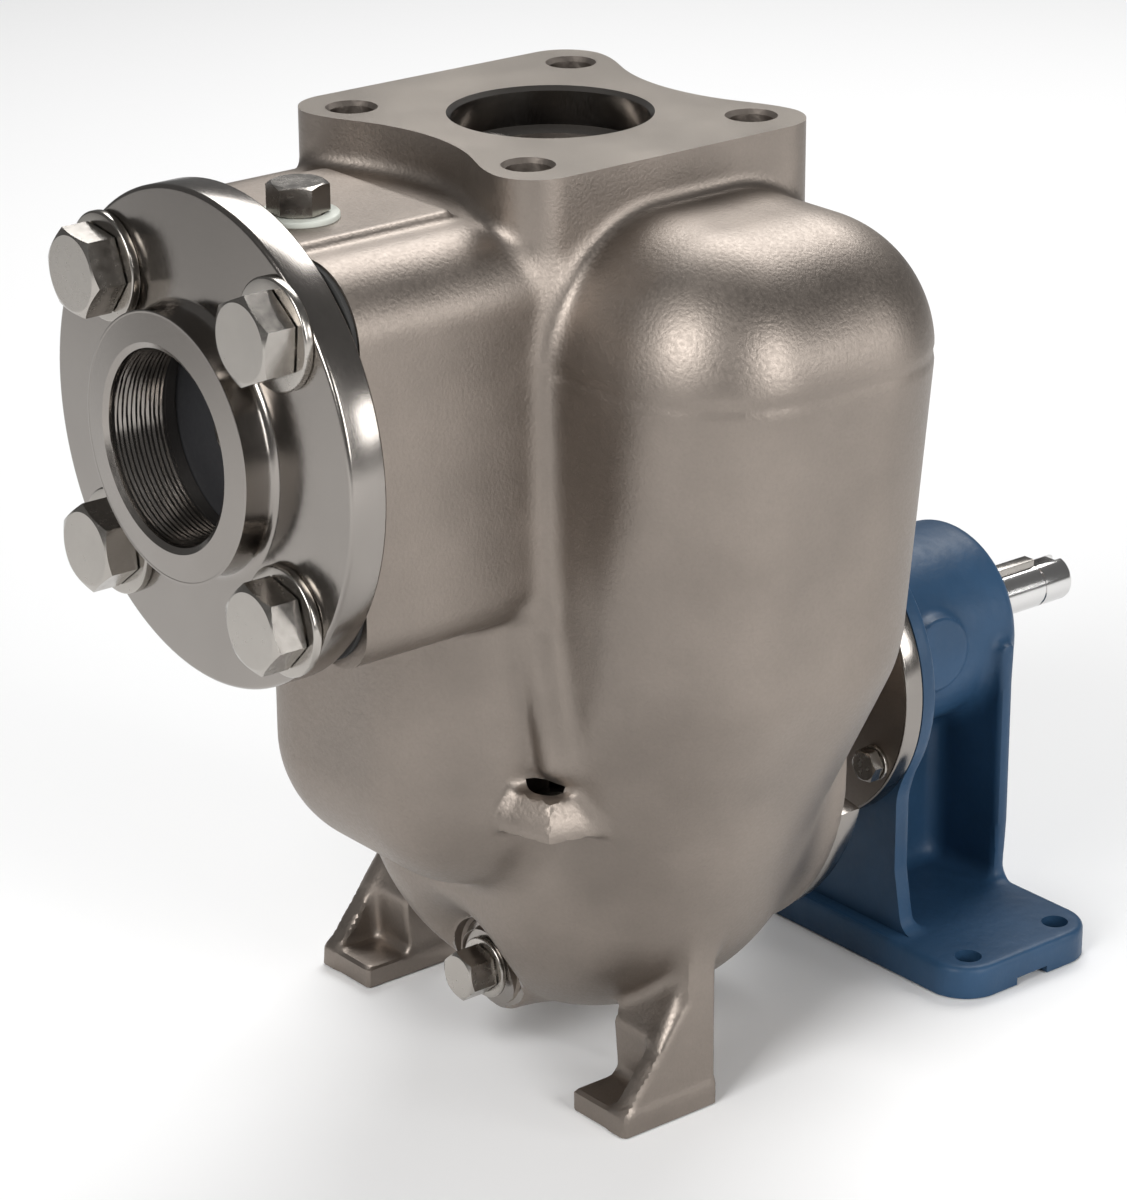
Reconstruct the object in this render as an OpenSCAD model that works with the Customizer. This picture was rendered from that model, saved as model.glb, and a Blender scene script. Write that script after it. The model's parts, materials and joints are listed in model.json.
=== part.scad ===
// Self-priming centrifugal pump on a bearing pedestal.
// +Y runs from the suction flange to the drive end of the shaft, +Z is up, and the
// origin is the centre of the four pedestal bolt holes on the underside of the base.

/* [Layout] */
// Height of the shaft axis above the base plane
shaft_z = 97; // [95:1:99]
// Height of the suction axis above the base plane
suction_z = 228; // [226:1:230]
// Height of the discharge face above the base plane
discharge_z = 303; // [300:1:306]
// Position of the suction flange face along Y
suction_y = -268; // [-270:1:-266]
// Position of the discharge port centre along Y
discharge_y = -137; // [-138:1:-136]

/* [Casing] */
// Front face of the priming tank along Y
tank_front = -187; // [-188:1:-185]
// Rear wall of the priming tank along Y
tank_back = -77; // [-78:1:-76]
// Machined rear seat of the casing along Y
tank_rear = -80; // [-81:1:-80]
// Reach of the priming tank to the right of the shaft plane
tank_right = 130; // [127:1:132]
// Reach of the priming tank to the left of the shaft plane
tank_left = 78; // [76:1:80]
// Radius of the domed top edges of the tank
dome_r = 41; // [38:1:42]
// Wall thickness of the casing
wall = 6; // [5:0.5:7]
// Radius of the drum that forms the bottom of the tank
drum_r = 84; // [82:1:86]
// Sideways offset of the drum from the shaft plane
drum_x = 6; // [4:1:8]
// Radius of the rounded edges of the drum
drum_edge = 54; // [50:1:55]
// Half width of the square suction nozzle
nozzle_half = 60; // [58:1:62]
// Half width of the suction chamber
chamber_half = 57; // [55:1:58]
// Radius of the rounded front of the suction chamber
chamber_r = 40; // [38:1:42]
// Height of the lowest point of the suction chamber
chamber_bottom = 70; // [68:1:74]
// Radius of the opening at the rear of the casing
rear_opening_r = 61; // [60.5:0.1:61.5]

/* [Discharge pad] */
// Half width of the discharge pad
pad_half = 60; // [58:1:61]
// Radius of the four corner ears of the pad
ear_r = 14.5; // [13:0.5:15]
// Radius of the discharge port
port_r = 30; // [28:0.5:31]
// Radius of the tapped holes in the pad
pad_hole_r = 6.75; // [6:0.25:7]

/* [Suction flange] */
// Outer radius of the suction flange
flange_r = 74.5; // [74:0.5:76]
// Thickness of the suction flange
flange_t = 13; // [12:1:14]
// Half the spacing of the four flange bolts, the same on the pad
bolt_half = 42.65; // [42:0.05:43]
// Radius of the threaded hub on the flange
hub_r = 39; // [37:0.5:40]
// Length of the threaded hub
hub_l = 12.5; // [10:0.5:15]
// Radius of the suction thread
thread_r = 29; // [28:0.5:30]
// Thickness of the flange gasket
gasket_t = 1.6; // [1:0.2:3]

/* [Feet] */
// Outer face of each front foot from the shaft plane
foot_outer = 78.5; // [76:0.5:80]
// Inner face of each front foot from the shaft plane
foot_inner = 53.5; // [50:0.5:56]
// Front edge of the front feet along Y
foot_front = -174; // [-176:1:-172]
// Rear edge of the front feet along Y
foot_rear = -137; // [-139:1:-135]

/* [Adapter] */
// Radius of the front flange of the adapter
adapter_r = 74.5; // [73:0.5:76]
// Half width across the side flats of that flange
adapter_flat = 62; // [60:1:64]
// Radius of the rear flange of the adapter and of the pedestal face
rear_flange_r = 53.5; // [53:0.5:56]
// Radius of the circle of pedestal bolts
pedestal_bolt_r = 46; // [44:0.5:46]

/* [Pedestal] */
// Outer radius of the bearing barrel
barrel_r = 33; // [31:1:35]
// Drive end of the bearing barrel along Y
barrel_end = 39; // [39:1:42]
// Half width of the base plate
base_half = 82; // [80:1:84]
// Half depth of the base plate
base_depth = 32; // [30:1:34]
// Thickness of the base plate
base_t = 11; // [9:1:13]
// Half spacing of the base bolt holes across the base
base_hole_x = 72; // [70:1:73]
// Half spacing of the base bolt holes along the base
base_hole_y = 20.25; // [19:0.25:21]
// Radius of the base bolt holes
base_hole_r = 4.5; // [4:0.25:5]

/* [Shaft and bearings] */
// Drive end of the shaft along Y
shaft_end = 90; // [88:1:92]
// Radius of the shaft at its drive end
shaft_r = 7.94; // [7.5:0.01:8.2]
// Radius of the shaft in the bearings
journal_r = 8.5; // [8.5:0.01:8.5]
// Outer radius of the ball bearings
bearing_r = 20; // [20:0.01:20]
// Width of the ball bearings
bearing_w = 12; // [12:0.01:12]
// Front face of the front bearing along Y
front_bearing_y = -19; // [-19:0.5:-18]
// Front face of the rear bearing along Y
rear_bearing_y = 20; // [18:0.5:20]

/* [Impeller] */
// Outer radius of the impeller
impeller_r = 48; // [44:1:50]
// Number of impeller vanes
vane_count = 5; // [4:1:6]
// Radius of the eye in the front wall of the volute
eye_r = 25; // [23:1:25]

/* [Hidden] */
$fn = 96;
over = 1;
hull_fn = 32;

stainless = [0.52, 0.49, 0.46];
bright = [0.75, 0.74, 0.72];
pedestal_blue = [0.22, 0.40, 0.58];
dark_rubber = [0.12, 0.12, 0.13];

nozzle_front = suction_y + flange_t + gasket_t;
nozzle_top = suction_z + nozzle_half;
nozzle_corner_r = 22;
shoulder_r = 37;
shoulder_x = 83;
shoulder_z = 157;
drum_y = -132;
dome_top = nozzle_top;
chamber_front = -226;
partition_front = tank_front;
valve_bore_r = 42;
strip_half = 31;
strip_h = 2;

spigot_r = rear_opening_r - 0.2;
spigot_face = tank_rear - 8;
rear_ring_r = adapter_r + 1.5;
rear_ring_t = 24;
adapter_t = 9;
adapter_screw_r = 67.75;
adapter_screw_angles = [for (k = [-2:2]) -90 + 32.5 * k, for (k = [-1:1]) 90 + 35 * k];
neck_r = 30;
rear_flange_y = -33.5;
pedestal_screw_r = 3;
pedestal_screw_l = 18;
pedestal_screw_flats = 10;
pedestal_washer_t = 1.6;
pedestal_face = -26;
pilot_r = 38;
pilot_l = 3;

volute_front = -116;
volute_wall = 4;
volute_r = 60.5;
chamber_ring_r = 52;
snout_front = tank_front + 0.5;
snout_r = 30;
outlet_half = 18;
outlet_front = -110;
outlet_rear = -98;
volute_screw_r = 56.1;

hinge_y = suction_y + flange_t + 4.8;
hinge_z = suction_z + 36;
hinge_pin_r = 2;
hinge_half = 26;
flap_r = 34;
flap_front = suction_y + flange_t + 0.3;
flap_t = 4.7;
valve_recess = 4;

fill_x = 8;
fill_y = -236;
fill_r = 7.5;
gauge_x = 58;
gauge_y = -184;
gauge_top = 115.5;
gauge_hole_r = 9;
gauge_hex_r = 18.5;
gauge_rim_r = 14;
gauge_slope_h = 8;
gauge_turn = 16;
drain_x = 6;
drain_z = 30;
drain_face = -170;
drain_boss_r = 12.5;
drain_dish_r = 29;
drain_backing_r = 26.5;

bolt_hex_r = 23.8 / 2 / cos(30);
bolt_head_h = 10.7;
bolt_r = 7.9;
washer_t = 3;
base_corner_r = 14;
plate_t = 6.5;

ball_r = 3.37;
ball_pitch_r = 14.25;
ball_count = 8;
key_w = 4.76;
key_end = 76;
relief_w = 1.2;
relief_depth = 0.3;

// ---------- helpers ----------

// Solid of revolution parts lie along +Y at (x, z), from y0 to y1
module rod_y(y0, y1, r, x = 0, z = shaft_z) {
    translate([x, y0, z]) rotate([-90, 0, 0]) cylinder(r = r, h = y1 - y0);
}

module cone_y(y0, y1, r0, r1, x = 0, z = shaft_z) {
    translate([x, y0, z]) rotate([-90, 0, 0]) cylinder(r1 = r0, r2 = r1, h = y1 - y0);
}

module ring_y(y0, y1, outer, inner, x = 0, z = shaft_z) {
    difference() {
        rod_y(y0, y1, outer, x, z);
        rod_y(y0 - over, y1 + over, inner, x, z);
    }
}

module hex_y(y0, y1, across_flats, x = 0, z = shaft_z) {
    translate([x, y0, z]) rotate([-90, 0, 0]) cylinder(r = across_flats / 2 / cos(30), h = y1 - y0, $fn = 6);
}

module torus_y(y, ring_r, wire_r, x = 0, z = shaft_z) {
    translate([x, y, z]) rotate([-90, 0, 0]) rotate_extrude() translate([ring_r, 0]) circle(r = wire_r);
}

module box(low, high) {
    translate(low) cube(high - low);
}

// Children copied to the four corners of a square pattern on a face square to Y
module at_flange_bolts() {
    for (sx = [-1, 1], sz = [-1, 1]) translate([sx * bolt_half, 0, suction_z + sz * bolt_half]) children();
}

module at_base_holes() {
    for (sx = [-1, 1], sy = [-1, 1]) translate([sx * base_hole_x, sy * base_hole_y, 0]) children();
}

// Children copied round the shaft axis at the given angles, starting from +X
module around_shaft(angles, radius) {
    for (a = angles) translate([radius * cos(a), 0, shaft_z + radius * sin(a)]) children();
}

// Rectangle with rounded corners, centred
module rounded_rect(w, h, r) {
    union() {
        square([w - 2 * r, h], center = true);
        square([w, h - 2 * r], center = true);
        for (sx = [-1, 1], sy = [-1, 1]) translate([sx * (w / 2 - r), sy * (h / 2 - r)]) circle(r = r);
    }
}

// Hex screw along +Y: head in front of face_y, shank behind it
module hex_screw(face_y, across_flats, head_h, shank_r, shank_l) {
    hex_y(face_y - head_h, face_y, across_flats, 0, 0);
    rod_y(face_y, face_y + shank_l, shank_r, 0, 0);
}

// ---------- casing ----------

// Priming tank, pulled in by inset on every side
module tank(inset) {
    hull() {
        for (x = [dome_r - tank_left, tank_right - dome_r], y = [tank_front + dome_r, tank_back - dome_r]) {
            translate([x, y, dome_top - dome_r]) sphere(r = dome_r - inset, $fn = hull_fn);
        }
        for (y = [tank_front + shoulder_r + 6, tank_back - shoulder_r - 9]) {
            translate([shoulder_x, y, shoulder_z]) sphere(r = shoulder_r - inset, $fn = hull_fn);
        }
        translate([drum_x, drum_y, shaft_z]) rotate([-90, 0, 0]) rotate_extrude($fn = 2 * hull_fn) intersection() {
            translate([drum_r - drum_edge, 0]) circle(r = drum_edge - inset, $fn = 2 * hull_fn);
            translate([0, -drum_r]) square([drum_r, 2 * drum_r]);
        }
    }
}

// Suction chamber: a round-nosed column with a bowl-shaped bottom
module chamber(inset) {
    r = chamber_r - inset;
    column_y = chamber_front + chamber_r;
    hull() {
        for (sx = [-1, 1]) {
            translate([sx * (chamber_half - chamber_r), column_y, chamber_bottom + chamber_r]) {
                sphere(r = r, $fn = hull_fn);
                cylinder(r = r, h = suction_z - chamber_bottom - chamber_r, $fn = hull_fn);
            }
        }
    }
}

module nozzle() {
    translate([0, nozzle_front, suction_z]) rotate([-90, 0, 0])
        linear_extrude(tank_front - nozzle_front + 5)
            rounded_rect(2 * nozzle_half, 2 * nozzle_half, nozzle_corner_r);
    box([-strip_half, nozzle_front, nozzle_top - over], [strip_half, tank_front - 12, nozzle_top + strip_h]);
}

// Outline of the discharge pad: four ears joined by straight sides and hollowed front and back edges
module pad_outline() {
    waist = 45;
    waist_r = 66;
    difference() {
        rounded_rect(2 * pad_half, 2 * (bolt_half + ear_r), ear_r);
        for (side = [-1, 1]) translate([0, side * (waist + waist_r)]) circle(r = waist_r);
    }
}

module discharge_pad() {
    translate([0, discharge_y, discharge_z - 41]) linear_extrude(41) pad_outline();
}

// Front foot on the +X side: pad, outer web with a sloping front edge, and a gusset behind the pad
module front_foot() {
    pad_t = 7;
    web_t = 7;
    top = 62;
    nose = 24;
    gusset_front = foot_rear - 20;
    box([foot_inner, foot_front, 0], [foot_outer, foot_rear, pad_t]);
    translate([foot_outer - web_t, 0, 0]) rotate([90, 0, 90]) linear_extrude(web_t)
        polygon([
            [foot_front, 0], [foot_rear, 0], [foot_rear, top], [foot_rear - 10, top],
            [foot_rear - 11, 38], [foot_front + 2, pad_t + 1]
        ]);
    translate([foot_inner, 0, 0]) rotate([90, 0, 90]) linear_extrude(foot_outer - foot_inner)
        polygon([
            [foot_rear, pad_t - over], [gusset_front, pad_t - over], [gusset_front, nose],
            [foot_rear - 10, 44], [foot_rear - 8, top], [foot_rear, top]
        ]);
}

// Hexagonal boss whose flanks slope in to its top face, on a tapered root
module gauge_boss() {
    root_h = 13;
    skirt_h = 6;
    translate([gauge_x, gauge_y, gauge_top - gauge_slope_h]) rotate([0, 0, gauge_turn]) {
        cylinder(r1 = gauge_hex_r, r2 = gauge_rim_r, h = gauge_slope_h, $fn = 6);
        translate([0, 0, -skirt_h]) cylinder(r = gauge_hex_r, h = skirt_h, $fn = 6);
        translate([0, 0, -skirt_h - root_h + over])
            cylinder(r1 = gauge_hole_r + 2, r2 = gauge_hex_r - 2.5, h = root_h);
    }
}

module casing_outside() {
    union() {
        tank(0);
        chamber(0);
        nozzle();
        discharge_pad();
        rod_y(tank_rear - rear_ring_t, tank_rear, rear_ring_r);
        front_foot();
        mirror([1, 0, 0]) front_foot();
        rod_y(drain_face, drain_face + 26, drain_boss_r, drain_x, drain_z);
        rod_y(drain_face + 3, drain_face + 26, drain_boss_r + 3, drain_x, drain_z);
        gauge_boss();
    }
}

// Every hollow and machined hole of the casing
module casing_hollows() {
    difference() {
        tank(wall);
        rod_y(tank_rear - rear_ring_t, tank_rear + over, rear_ring_r);
        rod_y(tank_front, drain_face + 9, drain_backing_r, drain_x, drain_z);
    }
    difference() {
        rod_y(tank_front - over, drain_face + 3, drain_boss_r + 4, drain_x, drain_z);
        rod_y(drain_face, drain_face + 4, drain_boss_r, drain_x, drain_z);
    }
    translate([drain_x, tank_front - over, drain_z]) rotate([-90, 0, 0])
        cylinder(r1 = drain_dish_r, r2 = drain_boss_r + 4, h = drain_face - tank_front);
    box([-outlet_half, outlet_front, shaft_z + 50], [outlet_half, outlet_rear, shaft_z + 74]);
    intersection() {
        chamber(wall);
        box([-nozzle_half, suction_y, 0], [nozzle_half, partition_front, discharge_z]);
    }
    rod_y(nozzle_front - over, partition_front, valve_bore_r, 0, suction_z);
    rod_y(partition_front - over, tank_front + 4 * wall, snout_r + 0.1);
    rod_y(volute_front - over, tank_rear + over, rear_opening_r);
    rod_y(tank_rear, tank_back + 2, rear_ring_r);
    translate([0, discharge_y, discharge_z - 12]) cylinder(r = port_r, h = 12 + over);
    translate([0, discharge_y, discharge_z - 41]) cylinder(r = port_r - 3, h = 41);
    translate([0, discharge_y, discharge_z - 2]) cylinder(r1 = port_r, r2 = port_r + 2, h = 2 + 0.001);
    for (sx = [-1, 1], sy = [-1, 1]) {
        translate([sx * bolt_half, discharge_y + sy * bolt_half, discharge_z - 24])
            cylinder(r = pad_hole_r, h = 25);
    }
    at_flange_bolts() rod_y(nozzle_front - over, nozzle_front + 26, bolt_r, 0, 0);
    around_shaft(adapter_screw_angles, adapter_screw_r) rod_y(tank_rear - 14, tank_rear + over, 3, 0, 0);
    translate([fill_x, fill_y, suction_z]) cylinder(r = fill_r, h = nozzle_half + strip_h + over);
    rod_y(drain_face - over, drain_face + 30, 6, drain_x, drain_z);
    translate([gauge_x, gauge_y, gauge_top - 20]) cylinder(r = gauge_hole_r, h = 20 + over);
    translate([-hinge_half, hinge_y, hinge_z]) rotate([0, 90, 0]) cylinder(r = hinge_pin_r, h = 2 * hinge_half);
    box([-hinge_half, nozzle_front - over, hinge_z - hinge_pin_r], [hinge_half, hinge_y, hinge_z + hinge_pin_r]);
}

module casing() {
    color(stainless) difference() {
        casing_outside();
        casing_hollows();
    }
}

// ---------- suction end ----------

module suction_flange() {
    color(bright) difference() {
        union() {
            rod_y(suction_y, suction_y + flange_t, flange_r, 0, suction_z);
            rod_y(suction_y - hub_l, suction_y + over, hub_r, 0, suction_z);
        }
        rod_y(suction_y - hub_l - over, suction_y + flange_t + over, thread_r, 0, suction_z);
        cone_y(suction_y - hub_l - 0.001, suction_y - hub_l + 2, thread_r + 2, thread_r, 0, suction_z);
        rod_y(suction_y + flange_t - valve_recess, suction_y + flange_t + over, thread_r + 2, 0, suction_z);
        at_flange_bolts() rod_y(suction_y - over, suction_y + flange_t + over, bolt_r + 0.8, 0, 0);
    }
}

module suction_gasket() {
    color(dark_rubber) difference() {
        translate([0, suction_y + flange_t, suction_z]) rotate([-90, 0, 0])
            linear_extrude(gasket_t) rounded_rect(2 * nozzle_half - 1, 2 * nozzle_half - 1, nozzle_corner_r);
        rod_y(suction_y, nozzle_front + over, valve_bore_r, 0, suction_z);
        at_flange_bolts() rod_y(suction_y, nozzle_front + over, bolt_r + 0.8, 0, 0);
    }
}

module flange_bolts() {
    color(bright) at_flange_bolts()
        hex_screw(suction_y - washer_t, 23.8, bolt_head_h, bolt_r, washer_t + flange_t + gasket_t + 24);
}

module flange_washers() {
    color(bright) at_flange_bolts() ring_y(suction_y - washer_t, suction_y, 16.5, bolt_r, 0, 0);
}

// ---------- check valve ----------

module check_flap() {
    color(dark_rubber) difference() {
        union() {
            rod_y(flap_front, flap_front + flap_t, flap_r, 0, suction_z);
            box([-9.5, flap_front + 1.2, suction_z + 20], [9.5, flap_front + flap_t, hinge_z]);
            translate([-9.5, hinge_y, hinge_z]) rotate([0, 90, 0]) cylinder(r = 3.4, h = 19);
        }
        translate([-10, hinge_y, hinge_z]) rotate([0, 90, 0]) cylinder(r = hinge_pin_r + 0.06, h = 20);
        rod_y(flap_front - over, flap_front + flap_t + over, 3, 0, suction_z);
    }
}

module flap_backing_plate() {
    back = flap_front + flap_t;
    color(bright) ring_y(back, back + 2.5, 27, 3, 0, suction_z);
}

module flap_weight() {
    back = flap_front + flap_t + 2.5;
    color(stainless) ring_y(back, back + 8, 18, 3, 0, suction_z);
}

module flap_screw() {
    color(bright) union() {
        rod_y(flap_front - 3, flap_front, 7, 0, suction_z);
        rod_y(flap_front - over, flap_front + flap_t + 12, 3, 0, suction_z);
    }
}

module flap_hinge_pin() {
    color(bright) translate([-hinge_half, hinge_y, hinge_z]) rotate([0, 90, 0])
        cylinder(r = hinge_pin_r, h = 2 * hinge_half);
}

// ---------- plugs ----------

module fill_plug() {
    seat = nozzle_top + strip_h + 2;
    color(bright) translate([fill_x, fill_y, 0]) {
        translate([0, 0, seat]) cylinder(r = 8 / cos(30), h = 9, $fn = 6);
        translate([0, 0, seat - 15]) cylinder(r = fill_r, h = 15 + over);
    }
}

module fill_plug_gasket() {
    color([0.80, 0.80, 0.74]) translate([fill_x, fill_y, nozzle_top + strip_h]) difference() {
        cylinder(r = 12, h = 2);
        translate([0, 0, -over]) cylinder(r = fill_r, h = 4);
    }
}

module gauge_plug() {
    color(bright) translate([gauge_x, gauge_y, gauge_top - 14]) difference() {
        cylinder(r = gauge_hole_r, h = 9);
        translate([0, 0, 3]) cylinder(r = 5.6, h = 7, $fn = 6);
    }
}

module drain_plug() {
    color(bright) translate([drain_x, 0, drain_z]) hex_screw(drain_face - 2, 14.3, 10, 6, 20);
}

module drain_plug_washer() {
    color(bright) ring_y(drain_face - 2, drain_face, 10, 6, drain_x, drain_z);
}

// ---------- adapter and volute ----------

module adapter() {
    neck_front = tank_rear + adapter_t;
    color(stainless) difference() {
        union() {
            intersection() {
                rod_y(tank_rear, neck_front, adapter_r);
                union() {
                    box([-adapter_flat, tank_rear, 0], [adapter_flat, neck_front, 2 * shaft_z]);
                    box([-adapter_r, tank_rear, 0], [adapter_r, neck_front, shaft_z - 17]);
                }
            }
            rod_y(spigot_face, tank_rear + over, spigot_r);
            rod_y(tank_rear, rear_flange_y + over, neck_r);
            rod_y(rear_flange_y, pedestal_face, rear_flange_r);
        }
        rod_y(spigot_face - over, -77, 20);
        rod_y(-78, -70, 15.5);
        rod_y(-71, -63, 9.3);
        rod_y(-64, pedestal_face + over, 20);
        rod_y(pedestal_face - pilot_l - 0.2, pedestal_face + over, pilot_r + 0.05);
        torus_cut();
        around_shaft(adapter_screw_angles, adapter_screw_r) {
            rod_y(tank_rear - over, neck_front + over, 3.3, 0, 0);
            rod_y(neck_front - 6.4, neck_front + over, 5.3, 0, 0);
        }
        around_shaft([for (k = [0:5]) 30 + 60 * k], pedestal_bolt_r)
            rod_y(rear_flange_y - over, pedestal_face + over, pedestal_screw_r + 0.3, 0, 0);
        around_shaft([for (k = [0:3]) 45 + 90 * k], volute_screw_r) rod_y(spigot_face - over, -82, 2, 0, 0);
        translate([0, -52, shaft_z - neck_r - over]) cylinder(r = 7, h = neck_r);
    }
}

// Square groove for the casing O-ring in the adapter's spigot
module torus_cut() {
    ring_y(-86, -82.8, spigot_r + over, spigot_r - 2.4);
}

module adapter_screws() {
    head_y = tank_rear + adapter_t - 6.2;
    color(bright) around_shaft(adapter_screw_angles, adapter_screw_r) difference() {
        union() {
            rod_y(head_y, head_y + 6, 5, 0, 0);
            rod_y(tank_rear - 12, head_y + over, 3, 0, 0);
        }
        hex_y(head_y + 3, head_y + 7, 5, 0, 0);
    }
}

module casing_o_ring() {
    color(dark_rubber) torus_y(-84.4, rear_opening_r - 1.3, 1.25);
}

module volute() {
    color(stainless) difference() {
        union() {
            rod_y(volute_front, spigot_face, volute_r);
            rod_y(snout_front, volute_front + over, snout_r);
        }
        rod_y(volute_front + volute_wall, spigot_face + over, chamber_ring_r, 1.2, shaft_z + 1.2);
        rod_y(snout_front - over, volute_front + volute_wall + over, eye_r);
        ring_y(tank_front + 2, tank_front + 4.6, snout_r + over, snout_r - 2);
        box([-outlet_half, outlet_front, shaft_z + 40], [outlet_half, outlet_rear, shaft_z + volute_r + over]);
        around_shaft([for (k = [0:3]) 45 + 90 * k], volute_screw_r)
            rod_y(volute_front - over, spigot_face + over, 2.1, 0, 0);
    }
}

module volute_o_ring() {
    color(dark_rubber) torus_y(tank_front + 3.3, snout_r - 0.95, 1.0);
}

module volute_screws() {
    color(bright) around_shaft([for (k = [0:3]) 45 + 90 * k], volute_screw_r)
        hex_screw(volute_front, 7, 3, 2, spigot_face - volute_front + 5.5);
}

// ---------- rotor ----------

// One backward-curved vane between the hub and the rim
module vane(y0, y1) {
    arc_r = 34;
    translate([0, y0, shaft_z]) rotate([-90, 0, 0]) linear_extrude(y1 - y0) intersection() {
        translate([arc_r - 8, 0]) difference() {
            circle(r = arc_r);
            circle(r = arc_r - 3);
        }
        difference() {
            circle(r = impeller_r - 1);
            circle(r = 11);
        }
        translate([-impeller_r, 0.5]) square([2 * impeller_r, impeller_r]);
    }
}

module impeller() {
    color(stainless) difference() {
        union() {
            rod_y(-98, -94, impeller_r);
            rod_y(-106, -90, 13);
            for (k = [0:vane_count - 1]) {
                translate([0, 0, shaft_z]) rotate([0, 360 * k / vane_count, 0]) translate([0, 0, -shaft_z])
                    vane(volute_front + volute_wall + 0.6, -97);
            }
        }
        rod_y(-107, -89, 6.35);
        box([-1.5, -104, shaft_z], [1.5, -89, shaft_z + 8.4]);
    }
}

module impeller_key() {
    color(bright) box([-1.5, -104, shaft_z + 4.5], [1.5, -92, shaft_z + 8.2]);
}

module impeller_washer() {
    color(bright) ring_y(-108, -106, 11, 5.5);
}

module impeller_nut() {
    color(bright) difference() {
        hex_y(-116, -108, 19);
        rod_y(-117, -107, 5.5);
    }
}

module seal_seat() {
    color([0.88, 0.87, 0.83]) ring_y(-77, -71, 13.5, 9.3);
}

module seal_seat_cup() {
    color(dark_rubber) ring_y(-77, -71, 15.5, 13.5);
}

module seal_face_ring() {
    color([0.18, 0.18, 0.19]) ring_y(-80.5, -77.05, 12.5, 9.2);
}

module seal_head() {
    color(bright) ring_y(-84, -80.5, 13, journal_r);
}

// Points of one wire section of the seal spring, at angle a
function spring_section(a, turns, y0, y1, coil_r, wire_r, sides) = [
    for (s = [0:sides - 1])
        let (b = 360 * s / sides, r = coil_r + wire_r * cos(b))
            [r * cos(a), y0 + (y1 - y0) * a / (360 * turns) + wire_r * sin(b), shaft_z + r * sin(a)]
];

module seal_spring() {
    turns = 2;
    sides = 8;
    steps = 48;
    rings = [for (k = [0:steps]) spring_section(360 * turns * k / steps, turns, -88.9, -85.1, 10.8, 0.9, sides)];
    points = [for (ring = rings) each ring];
    walls = [
        for (k = [0:steps - 1], s = [0:sides - 1])
            let (t = (s + 1) % sides)
                [k * sides + s, k * sides + t, (k + 1) * sides + t, (k + 1) * sides + s]
    ];
    start_cap = [[for (s = [sides - 1:-1:0]) s]];
    end_cap = [[for (s = [0:sides - 1]) steps * sides + s]];
    color(bright) polyhedron(points, concat(walls, start_cap, end_cap));
}

module slinger() {
    color(dark_rubber) ring_y(-52, -48, 15, journal_r);
}

module shaft() {
    keyway_floor = shaft_z + shaft_r - key_w / 2;
    color(bright) difference() {
        union() {
            rod_y(-118, -106, 5.5);
            rod_y(-106, -89, 6.35);
            rod_y(-90, 42, journal_r);
            rod_y(front_bearing_y + bearing_w, rear_bearing_y, 10.5);
            rod_y(41, shaft_end - 1.5, shaft_r);
            cone_y(shaft_end - 1.5, shaft_end, shaft_r, shaft_r - 1.5);
        }
        box([-key_w / 2, 48, keyway_floor], [key_w / 2, shaft_end + over, shaft_z + 12]);
        box([-1.5, -104, shaft_z + 4.5], [1.5, -92, shaft_z + 10]);
        ring_y(-20.4, -19.2, 12, 8);
        ring_y(key_end, key_end + relief_w, shaft_r + over, shaft_r - relief_depth);
    }
}

module shaft_key() {
    keyway_floor = shaft_z + shaft_r - key_w / 2;
    color(bright) box([-key_w / 2, 48, keyway_floor], [key_w / 2, key_end, keyway_floor + key_w]);
}

// ---------- bearings and seals ----------

module bearing_outer_ring(y) {
    color(bright) difference() {
        ring_y(y, y + bearing_w, bearing_r, 16.2);
        torus_y(y + bearing_w / 2, ball_pitch_r, ball_r + 0.1);
    }
}

module bearing_inner_ring(y) {
    color(bright) difference() {
        ring_y(y, y + bearing_w, 12.3, journal_r);
        torus_y(y + bearing_w / 2, ball_pitch_r, ball_r + 0.1);
    }
}

module at_balls(y) {
    for (k = [0:ball_count - 1]) {
        a = 360 * k / ball_count;
        translate([ball_pitch_r * cos(a), y + bearing_w / 2, shaft_z + ball_pitch_r * sin(a)]) children();
    }
}

module bearing_balls(y) {
    color(bright) at_balls(y) sphere(r = ball_r);
}

module bearing_cage(y) {
    color([0.55, 0.48, 0.30]) difference() {
        ring_y(y + 1.5, y + bearing_w - 1.5, 15.6, 12.9);
        for (k = [0:ball_count - 1]) {
            translate([0, y + bearing_w / 2, shaft_z]) rotate([0, -360 * k / ball_count, 0])
                translate([12, 0, 0]) rotate([0, 90, 0]) cylinder(r = ball_r + 0.15, h = 5);
        }
    }
}

module bearing_snap_ring() {
    y = rear_bearing_y + bearing_w;
    color(bright) difference() {
        ring_y(y, y + 1.5, 21, 18);
        box([-4, y - over, shaft_z], [4, y + 3, shaft_z + 25]);
    }
}

module shaft_snap_ring() {
    color(bright) difference() {
        ring_y(-20.4, -19.2, 11.5, 8);
        box([-3, -21, shaft_z], [3, -19, shaft_z + 15]);
    }
}

module front_lip_seal() {
    color(dark_rubber) ring_y(-28, -22, 15, journal_r + 0.3);
}

module rear_lip_seal() {
    color(dark_rubber) ring_y(34, barrel_end, bearing_r, journal_r + 0.3);
}

// ---------- pedestal ----------

// Upright plate square to Y: straight sides that flare at the base
module upright(y0, y1, half_top, half_base, top) {
    translate([0, y1, 0]) rotate([90, 0, 0]) linear_extrude(y1 - y0)
        polygon([
            [-half_base, base_t - over], [half_base, base_t - over], [half_top, base_t + 22],
            [half_top, top], [-half_top, top], [-half_top, base_t + 22]
        ]);
}

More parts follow.
